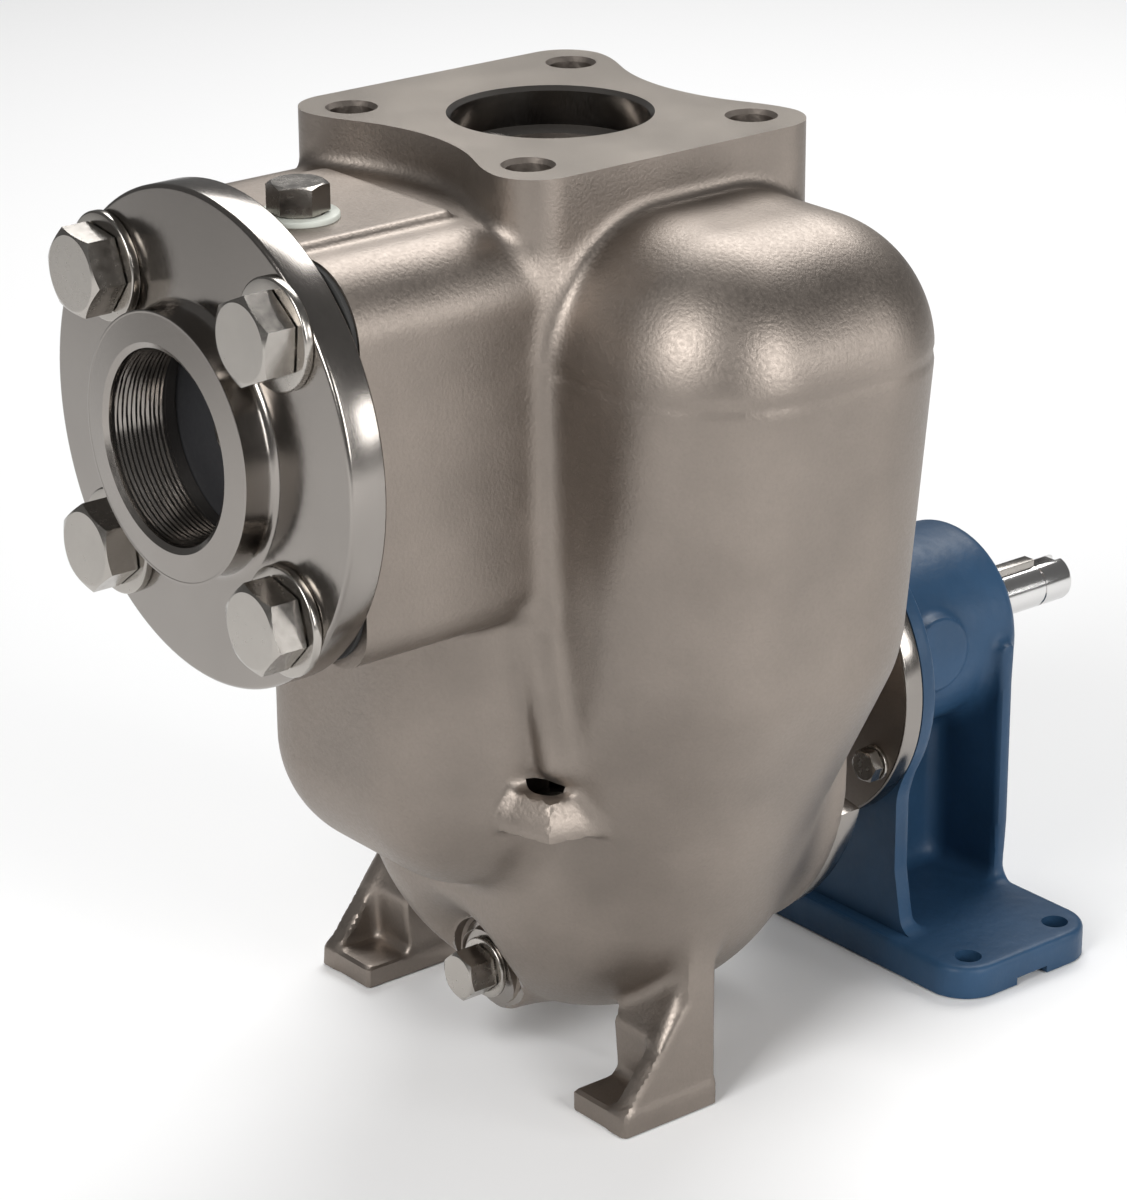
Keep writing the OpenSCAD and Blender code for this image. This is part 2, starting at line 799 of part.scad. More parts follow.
module base_plate() {
    difference() {
        linear_extrude(base_t) rounded_rect(2 * base_half, 2 * base_depth, base_corner_r);
        at_base_holes() translate([0, 0, -over]) cylinder(r = base_hole_r, h = base_t + 2 * over);
        box([-base_half - over, -7, -over], [base_half + over, 7, 2.5]);
    }
}

module barrel() {
    fillet = 4;
    rod_y(pedestal_face + 4, barrel_end - fillet, barrel_r);
    rod_y(pedestal_face + 4, barrel_end, barrel_r - fillet);
    torus_y(barrel_end - fillet, barrel_r - fillet, fillet);
    translate([barrel_r - 12, 0, shaft_z + 4]) rotate([0, 90, 0]) cylinder(r = 13, h = 13);
}

module pedestal() {
    color(pedestal_blue) difference() {
        union() {
            base_plate();
            upright(pedestal_face, pedestal_face + plate_t, 42, 47, shaft_z - 20);
            upright(27, 32.5, 37, 35, shaft_z);
            box([-6, pedestal_face + 2, base_t - over], [6, 26, shaft_z]);
            rod_y(pedestal_face, pedestal_face + 6, rear_flange_r);
            rod_y(pedestal_face - pilot_l, pedestal_face + over, pilot_r);
            barrel();
        }
        rod_y(pedestal_face - pilot_l - over, front_bearing_y + over, 15);
        rod_y(front_bearing_y, barrel_end + over, bearing_r);
        ring_y(rear_bearing_y + bearing_w, rear_bearing_y + bearing_w + 1.5, 21, bearing_r - over);
        around_shaft([for (k = [0:5]) 30 + 60 * k], pedestal_bolt_r)
            rod_y(pedestal_face - over, pedestal_face + 10, pedestal_screw_r, 0, 0);
    }
}

module pedestal_bolts() {
    color(bright) around_shaft([for (k = [0:5]) 30 + 60 * k], pedestal_bolt_r)
        hex_screw(
            rear_flange_y - pedestal_washer_t, pedestal_screw_flats, 4.5, pedestal_screw_r, pedestal_screw_l);
}

module pedestal_washers() {
    color(bright) around_shaft([for (k = [0:5]) 30 + 60 * k], pedestal_bolt_r)
        ring_y(rear_flange_y - pedestal_washer_t, rear_flange_y, 6, pedestal_screw_r, 0, 0);
}

casing();
suction_flange();
suction_gasket();
flange_bolts();
flange_washers();
check_flap();
flap_backing_plate();
flap_weight();
flap_screw();
flap_hinge_pin();
fill_plug();
fill_plug_gasket();
gauge_plug();
drain_plug();
drain_plug_washer();
adapter();
adapter_screws();
casing_o_ring();
volute();
volute_o_ring();
volute_screws();
impeller();
impeller_key();
impeller_washer();
impeller_nut();
seal_seat();
seal_seat_cup();
seal_face_ring();
seal_head();
seal_spring();
slinger();
pedestal();
pedestal_bolts();
pedestal_washers();
front_lip_seal();
rear_lip_seal();
bearing_outer_ring(front_bearing_y);  // front_bearing_outer_ring
bearing_inner_ring(front_bearing_y);  // front_bearing_inner_ring
bearing_balls(front_bearing_y);  // front_bearing_balls
bearing_cage(front_bearing_y);  // front_bearing_cage
bearing_outer_ring(rear_bearing_y);  // rear_bearing_outer_ring
bearing_inner_ring(rear_bearing_y);  // rear_bearing_inner_ring
bearing_balls(rear_bearing_y);  // rear_bearing_balls
bearing_cage(rear_bearing_y);  // rear_bearing_cage
bearing_snap_ring();
shaft_snap_ring();
shaft();
shaft_key();
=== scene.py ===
import json
import math

import bmesh
import bpy
import numpy as np
from mathutils import Matrix, Vector


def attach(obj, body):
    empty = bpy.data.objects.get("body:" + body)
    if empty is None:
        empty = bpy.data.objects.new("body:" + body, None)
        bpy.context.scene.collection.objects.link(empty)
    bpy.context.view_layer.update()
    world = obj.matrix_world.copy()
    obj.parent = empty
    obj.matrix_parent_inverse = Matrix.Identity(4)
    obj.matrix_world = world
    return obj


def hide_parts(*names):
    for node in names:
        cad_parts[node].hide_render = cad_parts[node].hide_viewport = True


MM = 0.001
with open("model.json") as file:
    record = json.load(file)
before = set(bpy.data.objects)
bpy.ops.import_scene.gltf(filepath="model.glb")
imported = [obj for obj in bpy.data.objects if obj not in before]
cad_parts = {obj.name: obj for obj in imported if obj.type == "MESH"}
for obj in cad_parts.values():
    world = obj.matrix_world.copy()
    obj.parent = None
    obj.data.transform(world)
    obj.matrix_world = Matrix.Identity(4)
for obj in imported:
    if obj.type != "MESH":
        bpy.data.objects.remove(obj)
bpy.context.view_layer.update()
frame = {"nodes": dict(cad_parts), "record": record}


# ---------------------------------------------------------------- sizes, millimetres, row frame
MOUNTS = {mount["name"]: mount for mount in frame["record"]["mounts"]}


def mount_at(name):
    """Where one of the record's mounts is."""
    return [round(value / MM, 3) for value in MOUNTS[name]["pos_m"]]


def mount_size(name, key):
    """One of a mount's own sizes."""
    return MOUNTS[name]["dims"][key]


# Axes and main faces
SHAFT_Z = mount_at("shaft_end")[2]
SUCTION_Z = mount_at("suction_thread")[2]
DISCHARGE_Y, DISCHARGE_Z = mount_at("discharge_bolts")[1:]
NOZZLE_FRONT = -253.4
SUCTION_Y = -268.0
FLANGE_BACK = -255.0
SEAT_Y = -80.0
REAR_FLANGE_Y = -33.5
PEDESTAL_FACE_Y = -26.0

# Bolts: the flange and the pad have the same square, the rest stand on circles round the shaft
CORNERS = [(sx, sy) for sx in (-1, 1) for sy in (-1, 1)]
BOLT_HALF = mount_size("discharge_bolts", "spacing_x_mm") / 2
SCREW_CIRCLE_R = 67.75
SCREW_ANGLES = [-90 + 32.5 * k for k in (-2, -1, 0, 1, 2)] + [90 + 35 * k for k in (-1, 0, 1)]
BOLT_CIRCLE_R = 46
BOLT_ANGLES = [30 + 60 * k for k in range(6)]
FLANGE_WASHER_T = 3
PEDESTAL_WASHER_T = 1.6

# Casing
WALL = 6.0
DOME_R, DOME_Z = 41.0, 247.0
SEAT_RING_R = 76
SEAT_BORE_R = 61
CHAMBER_R = 38.0
CHAMBER_STRAIGHT = 17
CHAMBER_Y = -186
CHAMBER_LOW_Z = 110
NOZZLE_HALF = 60
NOZZLE_BORE_R = 42
NOZZLE_LOWER_R, NOZZLE_UPPER_R = 14, 22
DRAIN_X, DRAIN_Y, DRAIN_Z = 6, -170, 30
FILL_X, FILL_Y, FILL_Z = 8, -236, 290
GAUGE_X, GAUGE_Y, GAUGE_TOP = 58, -184, 115.5
GAUGE_R = 9
PORT_R = mount_size("discharge_port", "r_mm")
PORT_LOWER_R = 27
PAD_HOLE_R = mount_size("discharge_bolts", "hole_r_mm")

# Adapter, pedestal and shaft
ADAPTER_R, ADAPTER_HALF_WIDTH = 74.5, 62
REAR_FLANGE_R = 53.5
SIDE_BOSS_Z = SHAFT_Z + 4
BASE_HALF_X = mount_size("base_bolts", "spacing_x_mm") / 2
BASE_HALF_Y = mount_size("base_bolts", "spacing_y_mm") / 2
BASE_HOLE_R = mount_size("base_bolts", "hole_r_mm")
SHAFT_END_R = mount_size("shaft_end", "r_mm")
KEY_HALF = 2.38
KEY_START, KEY_END = 48, 76
KEY_FLOOR = SHAFT_Z + 5.56


# ---------------------------------------------------------------- mesh helpers
def mesh_from(name, verts, faces):
    """A mesh from millimetre points."""
    mesh = bpy.data.meshes.new(name)
    mesh.from_pydata((np.asarray(verts, float) * MM).tolist(), [], [list(f) for f in faces])
    mesh.update()
    return mesh


def tidy_normals(mesh):
    """Merges doubled points and turns every face outward."""
    bm = bmesh.new()
    bm.from_mesh(mesh)
    bmesh.ops.remove_doubles(bm, verts=bm.verts, dist=1e-6)
    bmesh.ops.recalc_face_normals(bm, faces=bm.faces)
    bm.to_mesh(mesh)
    bm.free()


def new_object(name, data):
    """An object in the scene that shows a mesh, a light or a camera."""
    obj = bpy.data.objects.new(name, data)
    bpy.context.scene.collection.objects.link(obj)
    return obj


def paint(mesh, material):
    """Gives a whole mesh one material."""
    mesh.materials.clear()
    mesh.materials.append(material)
    for polygon in mesh.polygons:
        polygon.material_index = 0


def place(obj, body, material, nodes=(), angle=35):
    """Finishes a piece: shading, material, body and the CAD nodes that it stands for."""
    mesh = obj.data
    paint(mesh, material)
    mesh.shade_smooth()
    mesh.set_sharp_from_angle(angle=math.radians(angle))
    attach(obj, body)
    if nodes:
        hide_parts(*nodes)
    return obj


def fillet(points, segments=5):
    """Polyline points (a, b, radius) with each corner rounded to its radius."""
    out = []
    count = len(points)
    for i, (a, b, r) in enumerate(points):
        p = np.array([a, b], float)
        before = np.array(points[(i - 1) % count][:2], float) - p
        after = np.array(points[(i + 1) % count][:2], float) - p
        l0, l1 = np.linalg.norm(before), np.linalg.norm(after)
        if r <= 0 or l0 < 1e-6 or l1 < 1e-6:
            out.append(tuple(p))
            continue
        before, after = before / l0, after / l1
        half = math.acos(max(-1, min(1, float(before @ after)))) / 2
        if half > math.pi / 2 - 1e-3:
            out.append(tuple(p))
            continue
        reach = min(r / math.tan(half), 0.49 * l0, 0.49 * l1)
        r = reach * math.tan(half)
        centre = p + (before + after) / np.linalg.norm(before + after) * (r / math.sin(half))
        v0, v1 = p + before * reach - centre, p + after * reach - centre
        a0 = math.atan2(v0[1], v0[0])
        turn = math.atan2(v1[1], v1[0]) - a0
        turn = (turn + math.pi) % (2 * math.pi) - math.pi
        for k in range(segments + 1):
            t = a0 + turn * k / segments
            out.append((centre[0] + r * math.cos(t), centre[1] + r * math.sin(t)))
    return out


def lathe(name, profile, x=0.0, z=SHAFT_Z, n=128, shift=None):
    """Closed profile of (radius, y) turned round the line along Y at (x, z).

    shift(angle, r, y) gives a point another radius."""
    verts, faces, rows = [], [], []
    angles = [2 * math.pi * k / n for k in range(n)]
    for r, y in profile:
        if r < 1e-6:
            rows.append([len(verts)])
            verts.append((x, y, z))
            continue
        rows.append(list(range(len(verts), len(verts) + n)))
        for t in angles:
            rr = shift(t, r, y) if shift else r
            verts.append((x + rr * math.cos(t), y, z + rr * math.sin(t)))
    for i, row in enumerate(rows):
        other = rows[(i + 1) % len(rows)]
        if len(row) == 1 and len(other) == 1:
            continue
        for k in range(n):
            m = (k + 1) % n
            if len(row) == 1:
                faces.append((row[0], other[k], other[m]))
            elif len(other) == 1:
                faces.append((row[k], other[0], row[m]))
            else:
                faces.append((row[k], other[k], other[m], row[m]))
    mesh = mesh_from(name, verts, faces)
    tidy_normals(mesh)
    return mesh


def upright(mesh, x, y, z, turn=0.0):
    """Stands a mesh made along Y on its end, -Y pointing up, and moves it. turn is about its own axis."""
    mesh.transform(Matrix.Translation(Vector((x, y, z)) * MM) @ Matrix.Rotation(math.radians(-90), 4, "X")
                   @ Matrix.Rotation(math.radians(turn), 4, "Y"))
    return mesh


def extrude(name, outline, low, high, chamfer=0.0, axis="Y", steps=3):
    """Outline of (a, b) points pushed from low to high along Y or Z, its two rims rounded by chamfer."""
    pts = np.array(outline, float)
    nxt, prv = np.roll(pts, -1, 0), np.roll(pts, 1, 0)
    e0, e1 = pts - prv, nxt - pts
    n0 = np.stack([e0[:, 1], -e0[:, 0]], 1) / np.maximum(np.linalg.norm(e0, axis=1), 1e-9)[:, None]
    n1 = np.stack([e1[:, 1], -e1[:, 0]], 1) / np.maximum(np.linalg.norm(e1, axis=1), 1e-9)[:, None]
    area = 0.5 * np.sum(pts[:, 0] * nxt[:, 1] - nxt[:, 0] * pts[:, 1])
    bis = (n0 + n1) / (1 + np.sum(n0 * n1, 1))[:, None] * (1 if area > 0 else -1)
    levels = []
    if chamfer > 0:
        for k in range(steps + 1):
            t = math.pi / 2 * k / steps
            levels.append((low + chamfer * (1 - math.cos(t)), chamfer * (1 - math.sin(t))))
        levels += [(low + high - level, inset) for level, inset in reversed(levels)]
    else:
        levels = [(low, 0.0), (high, 0.0)]
    verts, faces, n = [], [], len(pts)
    for level, inset in levels:
        for a, b in pts - bis * inset:
            verts.append((a, level, b) if axis == "Y" else (a, b, level))
    for i in range(len(levels) - 1):
        for k in range(n):
            m = (k + 1) % n
            faces.append((i * n + k, i * n + m, (i + 1) * n + m, (i + 1) * n + k))
    faces.append(tuple(range(n)))
    faces.append(tuple(range((len(levels) - 1) * n, len(levels) * n)))
    mesh = mesh_from(name, verts, faces)
    tidy_normals(mesh)
    return mesh


def hexagon(flats):
    """Outline of a hexagon, given its width across the flats."""
    r = flats / 2 / math.cos(math.pi / 6)
    angles = [math.radians(60 * k) for k in range(6)]
    return [(r * math.cos(t), r * math.sin(t)) for t in angles]


def rounded_rect(w, h, r):
    """Outline of a rectangle with round corners."""
    pts = [(-w / 2, -h / 2, r), (w / 2, -h / 2, r), (w / 2, h / 2, r), (-w / 2, h / 2, r)]
    return fillet(pts, 8)


def polar(angle, radius):
    """The x and z of a point on a circle round the shaft."""
    return radius * math.cos(math.radians(angle)), SHAFT_Z + radius * math.sin(math.radians(angle))


def rod(y0, y1, r, x=0.0, z=SHAFT_Z, n=96):
    """A plain cylinder along Y."""
    return lathe("rod", [(0, y0), (r, y0), (r, y1), (0, y1)], x, z, n)


def ring(y0, y1, outer, inner, edge=0.4, n=96, x=0.0, z=SHAFT_Z):
    """A flat ring with rounded rims."""
    corners = [(inner, y0, edge), (outer, y0, edge), (outer, y1, edge), (inner, y1, edge)]
    return lathe("ring", fillet(corners, 3), x, z, n)


def post(z0, z1, r, x, y, n=96):
    """A plain cylinder along Z."""
    return upright(lathe("post", [(0, -z1), (r, -z1), (r, -z0), (0, -z0)], 0, 0, n), x, y, 0)


def cube(low, high):
    """A box between two opposite corners."""
    (x0, y0, z0), (x1, y1, z1) = low, high
    return extrude("cube", [(x0, y0), (x1, y0), (x1, y1), (x0, y1)], z0, z1, axis="Z")


def boolean(mesh, cutter, operation="DIFFERENCE"):
    """The first mesh cut by, joined to or crossed with the second, as a new mesh. Both inputs are used up."""
    a, b = new_object("work_a", mesh), new_object("work_b", cutter)
    modifier = a.modifiers.new("cut", "BOOLEAN")
    modifier.operation = operation
    modifier.object = b
    modifier.solver = "MANIFOLD"
    bpy.context.view_layer.update()
    made = bpy.data.meshes.new_from_object(a.evaluated_get(bpy.context.evaluated_depsgraph_get()))
    name = mesh.name
    bpy.data.objects.remove(a)
    bpy.data.objects.remove(b)
    bpy.data.meshes.remove(mesh)
    bpy.data.meshes.remove(cutter)
    made.name = name
    return made


def joined(name, meshes):
    """Several meshes as one, each keeping its own closed shells."""
    bm = bmesh.new()
    for mesh in meshes:
        bm.from_mesh(mesh)
        bpy.data.meshes.remove(mesh)
    made = bpy.data.meshes.new(name)
    bm.to_mesh(made)
    bm.free()
    return made


def moved(mesh, x=0.0, y=0.0, z=0.0, spin=0.0):
    """A copy turned by spin degrees round its own Y axis and moved."""
    copy = mesh.copy()
    copy.transform(Matrix.Translation(Vector((x, y, z)) * MM) @ Matrix.Rotation(math.radians(spin), 4, "Y"))
    return copy


# ---------------------------------------------------------------- distance fields for the cast parts
def blend_min(a, b, k):
    """Two shapes joined, with a fillet that reaches about k from the meeting."""
    h = np.maximum(k - np.abs(a - b), 0) / k
    return np.minimum(a, b) - h * h * k / 4


def blend_max(a, b, k):
    """What two shapes share, its edge rounded by k."""
    return -blend_min(-a, -b, k)


def rect2(a, b, half_a, half_b, r):
    """Signed distance to a rectangle with round corners."""
    qa, qb = np.abs(a) - half_a + r, np.abs(b) - half_b + r
    return np.hypot(np.maximum(qa, 0), np.maximum(qb, 0)) + np.minimum(np.maximum(qa, qb), 0) - r


def slab(d2, t, low, high, r=0.0):
    """A 2D distance pushed along t from low to high, its rims rounded by r."""
    dt = np.abs(t - (low + high) / 2) - (high - low) / 2 + r
    d2 = d2 + r
    return np.hypot(np.maximum(d2, 0), np.maximum(dt, 0)) + np.minimum(np.maximum(d2, dt), 0) - r


def polygon2(a, b, pts):
    """Signed distance to a closed polygon."""
    best, inside = np.full(a.shape, 1e9), np.zeros(a.shape, bool)
    for (xa, ya), (xb, yb) in zip(pts, pts[1:] + pts[:1]):
        ex, ey = xb - xa, yb - ya
        wx, wy = a - xa, b - ya
        t = np.clip((wx * ex + wy * ey) / (ex * ex + ey * ey), 0, 1)
        best = np.minimum(best, (wx - ex * t) ** 2 + (wy - ey * t) ** 2)
        cross = ((ya > b) != (yb > b)) & (a < ex * (b - ya) / (ey if ey else 1e-9) + xa)
        inside ^= cross
    return np.where(inside, -1, 1) * np.sqrt(best)


def hull_sides(circles, heights):
    """Left and right reach at each height of the convex outline round circles (a, z, radius)."""
    t = np.linspace(0, 2 * math.pi, 361)
    pts = np.concatenate([np.stack([a + r * np.cos(t), z + r * np.sin(t)], 1) for a, z, r in circles])
    pts = pts[np.lexsort((pts[:, 1], pts[:, 0]))]
    chains = []
    for order in (pts, pts[::-1]):
        chain = []
        for p in order:
            while len(chain) > 1:
                (ax, ay), (bx, by) = chain[-1] - chain[-2], p - chain[-2]
                if ax * by - ay * bx > 0:
                    break
                chain.pop()
            chain.append(p)
        chains += chain[:-1]
    loop = np.array(chains + chains[:1])
    low, high = np.full(len(heights), 1e9), np.full(len(heights), -1e9)
    for p, q in zip(loop[:-1], loop[1:]):
        if abs(q[1] - p[1]) < 1e-9:
            continue
        s = (heights - p[1]) / (q[1] - p[1])
        hit = (s >= 0) & (s <= 1)
        a = p[0] + (q[0] - p[0]) * s
        low = np.where(hit, np.minimum(low, a), low)
        high = np.where(hit, np.maximum(high, a), high)
    return low, high


def surface(field, low, high, step):
    """Closed quad mesh of field = 0 by surface nets, its points then moved onto the surface."""
    axes = [np.arange(a, b + step, step) for a, b in zip(low, high)]
    shape = tuple(len(a) for a in axes)
    values = np.empty(shape, np.float32)
    for i, x in enumerate(axes[0]):
        yy, zz = np.meshgrid(axes[1], axes[2], indexing="ij")
        pts = np.stack([np.full(yy.size, x), yy.ravel(), zz.ravel()], 1)
        values[i] = field(pts).reshape(yy.shape)
    inside = values < 0
    count = np.zeros(tuple(s - 1 for s in shape), np.int8)
    for dx in (0, 1):
        for dy in (0, 1):
            for dz in (0, 1):
                count += inside[dx:shape[0] - 1 + dx, dy:shape[1] - 1 + dy, dz:shape[2] - 1 + dz]
    active = (count > 0) & (count < 8)
    cells = np.argwhere(active)
    index = np.full(active.shape, -1, np.int64)
    index[active] = np.arange(len(cells))
    total, hits = np.zeros((len(cells), 3)), np.zeros(len(cells))
    corners = [(dx, dy, dz) for dx in (0, 1) for dy in (0, 1) for dz in (0, 1)]
    for c0 in corners:
        for axis in range(3):
            if c0[axis]:
                continue
            c1 = tuple(1 if i == axis else c0[i] for i in range(3))
            f0 = values[tuple((cells + c0).T)].astype(float)
            f1 = values[tuple((cells + c1).T)].astype(float)
            cross = (f0 < 0) != (f1 < 0)
            t = np.where(cross, f0 / np.where(cross, f0 - f1, 1), 0)
            point = np.array(c0, float) + t[:, None] * (np.array(c1) - np.array(c0))
            total[cross] += point[cross]
            hits[cross] += 1
    verts = np.array(low) + step * (cells + total / hits[:, None])
    quads = []
    for axis in range(3):
        a = [slice(None)] * 3
        b = [slice(None)] * 3
        a[axis], b[axis] = slice(0, -1), slice(1, None)
        flip = inside[tuple(a)] != inside[tuple(b)]
        u, v = [i for i in range(3) if i != axis]
        edges = np.argwhere(flip)
        good = (edges[:, u] > 0) & (edges[:, v] > 0)
        good &= (edges[:, u] < shape[u] - 1) & (edges[:, v] < shape[v] - 1)
        edges = edges[good]
        starts_in = inside[tuple(edges.T)]
        ring = []
        for du, dv in ((-1, -1), (0, -1), (0, 0), (-1, 0)):
            cell = edges.copy()
            cell[:, u] += du
            cell[:, v] += dv
            ring.append(index[tuple(cell.T)])
        quad = np.stack(ring, 1)
        outward = starts_in if axis != 1 else ~starts_in
        quad[~outward] = quad[~outward][:, ::-1]
        quads.append(quad)
    quads = np.concatenate(quads)
    reach = step * 0.6
    for _ in range(3):
        f = field(verts)
        grad = np.empty_like(verts)
        for axis in range(3):
            e = np.zeros(3)
            e[axis] = 0.25
            grad[:, axis] = (field(verts + e) - field(verts - e)) / 0.5
        size = np.maximum((grad ** 2).sum(1), 0.05)
        verts = verts - np.clip(f / size, -reach, reach)[:, None] * grad
    return verts, quads


# ---------------------------------------------------------------- materials
def metal(name, color, rough, grain, bump, tint, rough_spread, metallic=1.0, streak=None):
    """Metal or paint with two scales of noise in its colour and roughness, and a fine surface grain."""
    m = bpy.data.materials.new(name)
    m.use_nodes = True
    nodes, links = m.node_tree.nodes, m.node_tree.links
    shader = nodes["Principled BSDF"]
    shader.inputs["Metallic"].default_value = metallic
    shader.inputs["Specular IOR Level"].default_value = 0.5 if metallic else 0.3
    coords = nodes.new("ShaderNodeTexCoord")
    scale = nodes.new("ShaderNodeMapping")
    scale.inputs["Scale"].default_value = streak or (1, 1, 1)
    links.new(coords.outputs["Object"], scale.inputs["Vector"])
    broad = nodes.new("ShaderNodeTexNoise")
    broad.inputs["Scale"].default_value = 28
    broad.inputs["Detail"].default_value = 6
    fine = nodes.new("ShaderNodeTexNoise")
    fine.inputs["Scale"].default_value = grain
    fine.inputs["Detail"].default_value = 4
    links.new(coords.outputs["Object"], broad.inputs["Vector"])
    links.new(scale.outputs["Vector"], fine.inputs["Vector"])
    ramp = nodes.new("ShaderNodeValToRGB")
    ramp.color_ramp.elements[0].position = 0.3
    ramp.color_ramp.elements[1].position = 0.7
    ramp.color_ramp.elements[0].color = [c * (1 - tint) for c in color] + [1]
    ramp.color_ramp.elements[1].color = [min(1, c * (1 + tint)) for c in color] + [1]
    links.new(broad.outputs["Fac"], ramp.inputs["Fac"])
    links.new(ramp.outputs["Color"], shader.inputs["Base Color"])
    mix = nodes.new("ShaderNodeMath")
    mix.operation = "ADD"
    links.new(broad.outputs["Fac"], mix.inputs[0])
    links.new(fine.outputs["Fac"], mix.inputs[1])
    spread = nodes.new("ShaderNodeMapRange")
    spread.inputs["From Min"].default_value = 0.6
    spread.inputs["From Max"].default_value = 1.4
    spread.inputs["To Min"].default_value = max(0.02, rough - rough_spread)
    spread.inputs["To Max"].default_value = min(1, rough + rough_spread)
    links.new(mix.outputs["Value"], spread.inputs["Value"])
    links.new(spread.outputs["Result"], shader.inputs["Roughness"])
    if bump:
        relief = nodes.new("ShaderNodeBump")
        relief.inputs["Strength"].default_value = bump
        relief.inputs["Distance"].default_value = 0.0004
        links.new(fine.outputs["Fac"], relief.inputs["Height"])
        links.new(relief.outputs["Normal"], shader.inputs["Normal"])
    return m


# name, colour, roughness, scale of the grain, its bump, spread of the colour, spread of the roughness
CAST = metal("cast_stainless", (0.262, 0.227, 0.198), 0.46, 900, 0.28, 0.12, 0.10)
MACHINED = metal("machined_stainless", (0.29, 0.268, 0.247), 0.19, 500, 0.05, 0.05, 0.06, streak=(1, 6, 1))
PAD_TOP = metal("milled_stainless", (0.32, 0.285, 0.25), 0.34, 700, 0.10, 0.05, 0.05, streak=(8, 1, 1))
FASTENER = metal("bright_fastener", (0.40, 0.375, 0.345), 0.24, 400, 0.05, 0.08, 0.08)
SHAFT_STEEL = metal("ground_shaft", (0.70, 0.69, 0.68), 0.15, 700, 0.04, 0.04, 0.05, streak=(1, 10, 1))
BEARING = metal("bearing_steel", (0.62, 0.62, 0.63), 0.18, 600, 0.02, 0.04, 0.04)
SPRING = metal("spring_wire", (0.50, 0.50, 0.51), 0.28, 500, 0.03, 0.06, 0.05)
BRASS = metal("cage_brass", (0.60, 0.43, 0.18), 0.30, 500, 0.05, 0.08, 0.06)
BLUE = metal("blue_enamel", (0.022, 0.062, 0.125), 0.44, 260, 0.45, 0.18, 0.10, metallic=0.0)
RUBBER = metal("black_rubber", (0.022, 0.022, 0.024), 0.62, 500, 0.10, 0.15, 0.08, metallic=0.0)
SHEET = metal("gasket_sheet", (0.035, 0.034, 0.033), 0.78, 700, 0.20, 0.20, 0.08, metallic=0.0)
PALE = metal("pale_gasket", (0.62, 0.64, 0.58), 0.50, 500, 0.06, 0.05, 0.08, metallic=0.0)
CERAMIC = metal("lapped_ceramic", (0.80, 0.78, 0.73), 0.18, 500, 0.01, 0.03, 0.05, metallic=0.0)
CARBON = metal("lapped_carbon", (0.03, 0.03, 0.032), 0.32, 500, 0.02, 0.15, 0.06, metallic=0.0)
BY_SLOT = {
    "cast_stainless": CAST, "machined_stainless": MACHINED, "fastener_steel": FASTENER,
    "shaft_steel": SHAFT_STEEL, "bearing_steel": BEARING, "spring_steel": SPRING, "cage_brass": BRASS,
    "blue_paint": BLUE, "black_rubber": RUBBER, "gasket_sheet": SHEET, "pale_gasket": PALE,
    "ceramic": CERAMIC, "carbon": CARBON,
}
for part in frame["record"]["subparts"]:
    paint(frame["nodes"][part["node"]].data, BY_SLOT[part["material_slot"]])


def finish(piece, material, wanted):
    """Gives the faces picked by wanted(centre, normal), in millimetres, a second material."""
    mesh = piece.data
    mesh.materials.append(material)
    last = len(mesh.materials) - 1
    for polygon in mesh.polygons:
        if wanted(polygon.center / MM, polygon.normal):
            polygon.material_index = last


# ---------------------------------------------------------------- casing, as distance fields
# Circles whose convex outline is the tank's: (x, z, radius) from the front and (y, z, radius) from the side
SHOULDER_R, SHOULDER_Z = 37, 157
BELLY_R = 54
FRONT_CIRCLES = [(-37, DOME_Z, DOME_R), (89, DOME_Z, DOME_R), (83, SHOULDER_Z, SHOULDER_R), (6, SHAFT_Z, 84)]
SIDE_CIRCLES = [
    (-146, DOME_Z, DOME_R), (-118, DOME_Z, DOME_R),
    (-144, SHOULDER_Z, SHOULDER_R), (-123, SHOULDER_Z, SHOULDER_R),
    (-132, 67, BELLY_R), (-132, 127, BELLY_R),
]
LEVELS = np.linspace(13.02, DOME_Z, 400)
X_LOW, X_HIGH = hull_sides(FRONT_CIRCLES, LEVELS)
Y_LOW, Y_HIGH = hull_sides(SIDE_CIRCLES, LEVELS)
# Corner radius of the tank in plan, at these heights
CORNER_LEVELS = [13, SHAFT_Z, 130, SHOULDER_Z, DOME_Z]
CORNER_RADII = [BELLY_R, BELLY_R, 46, 40, DOME_R]
CREASE_DEPTH, CREASE_WIDTH = 0.55, 1.6


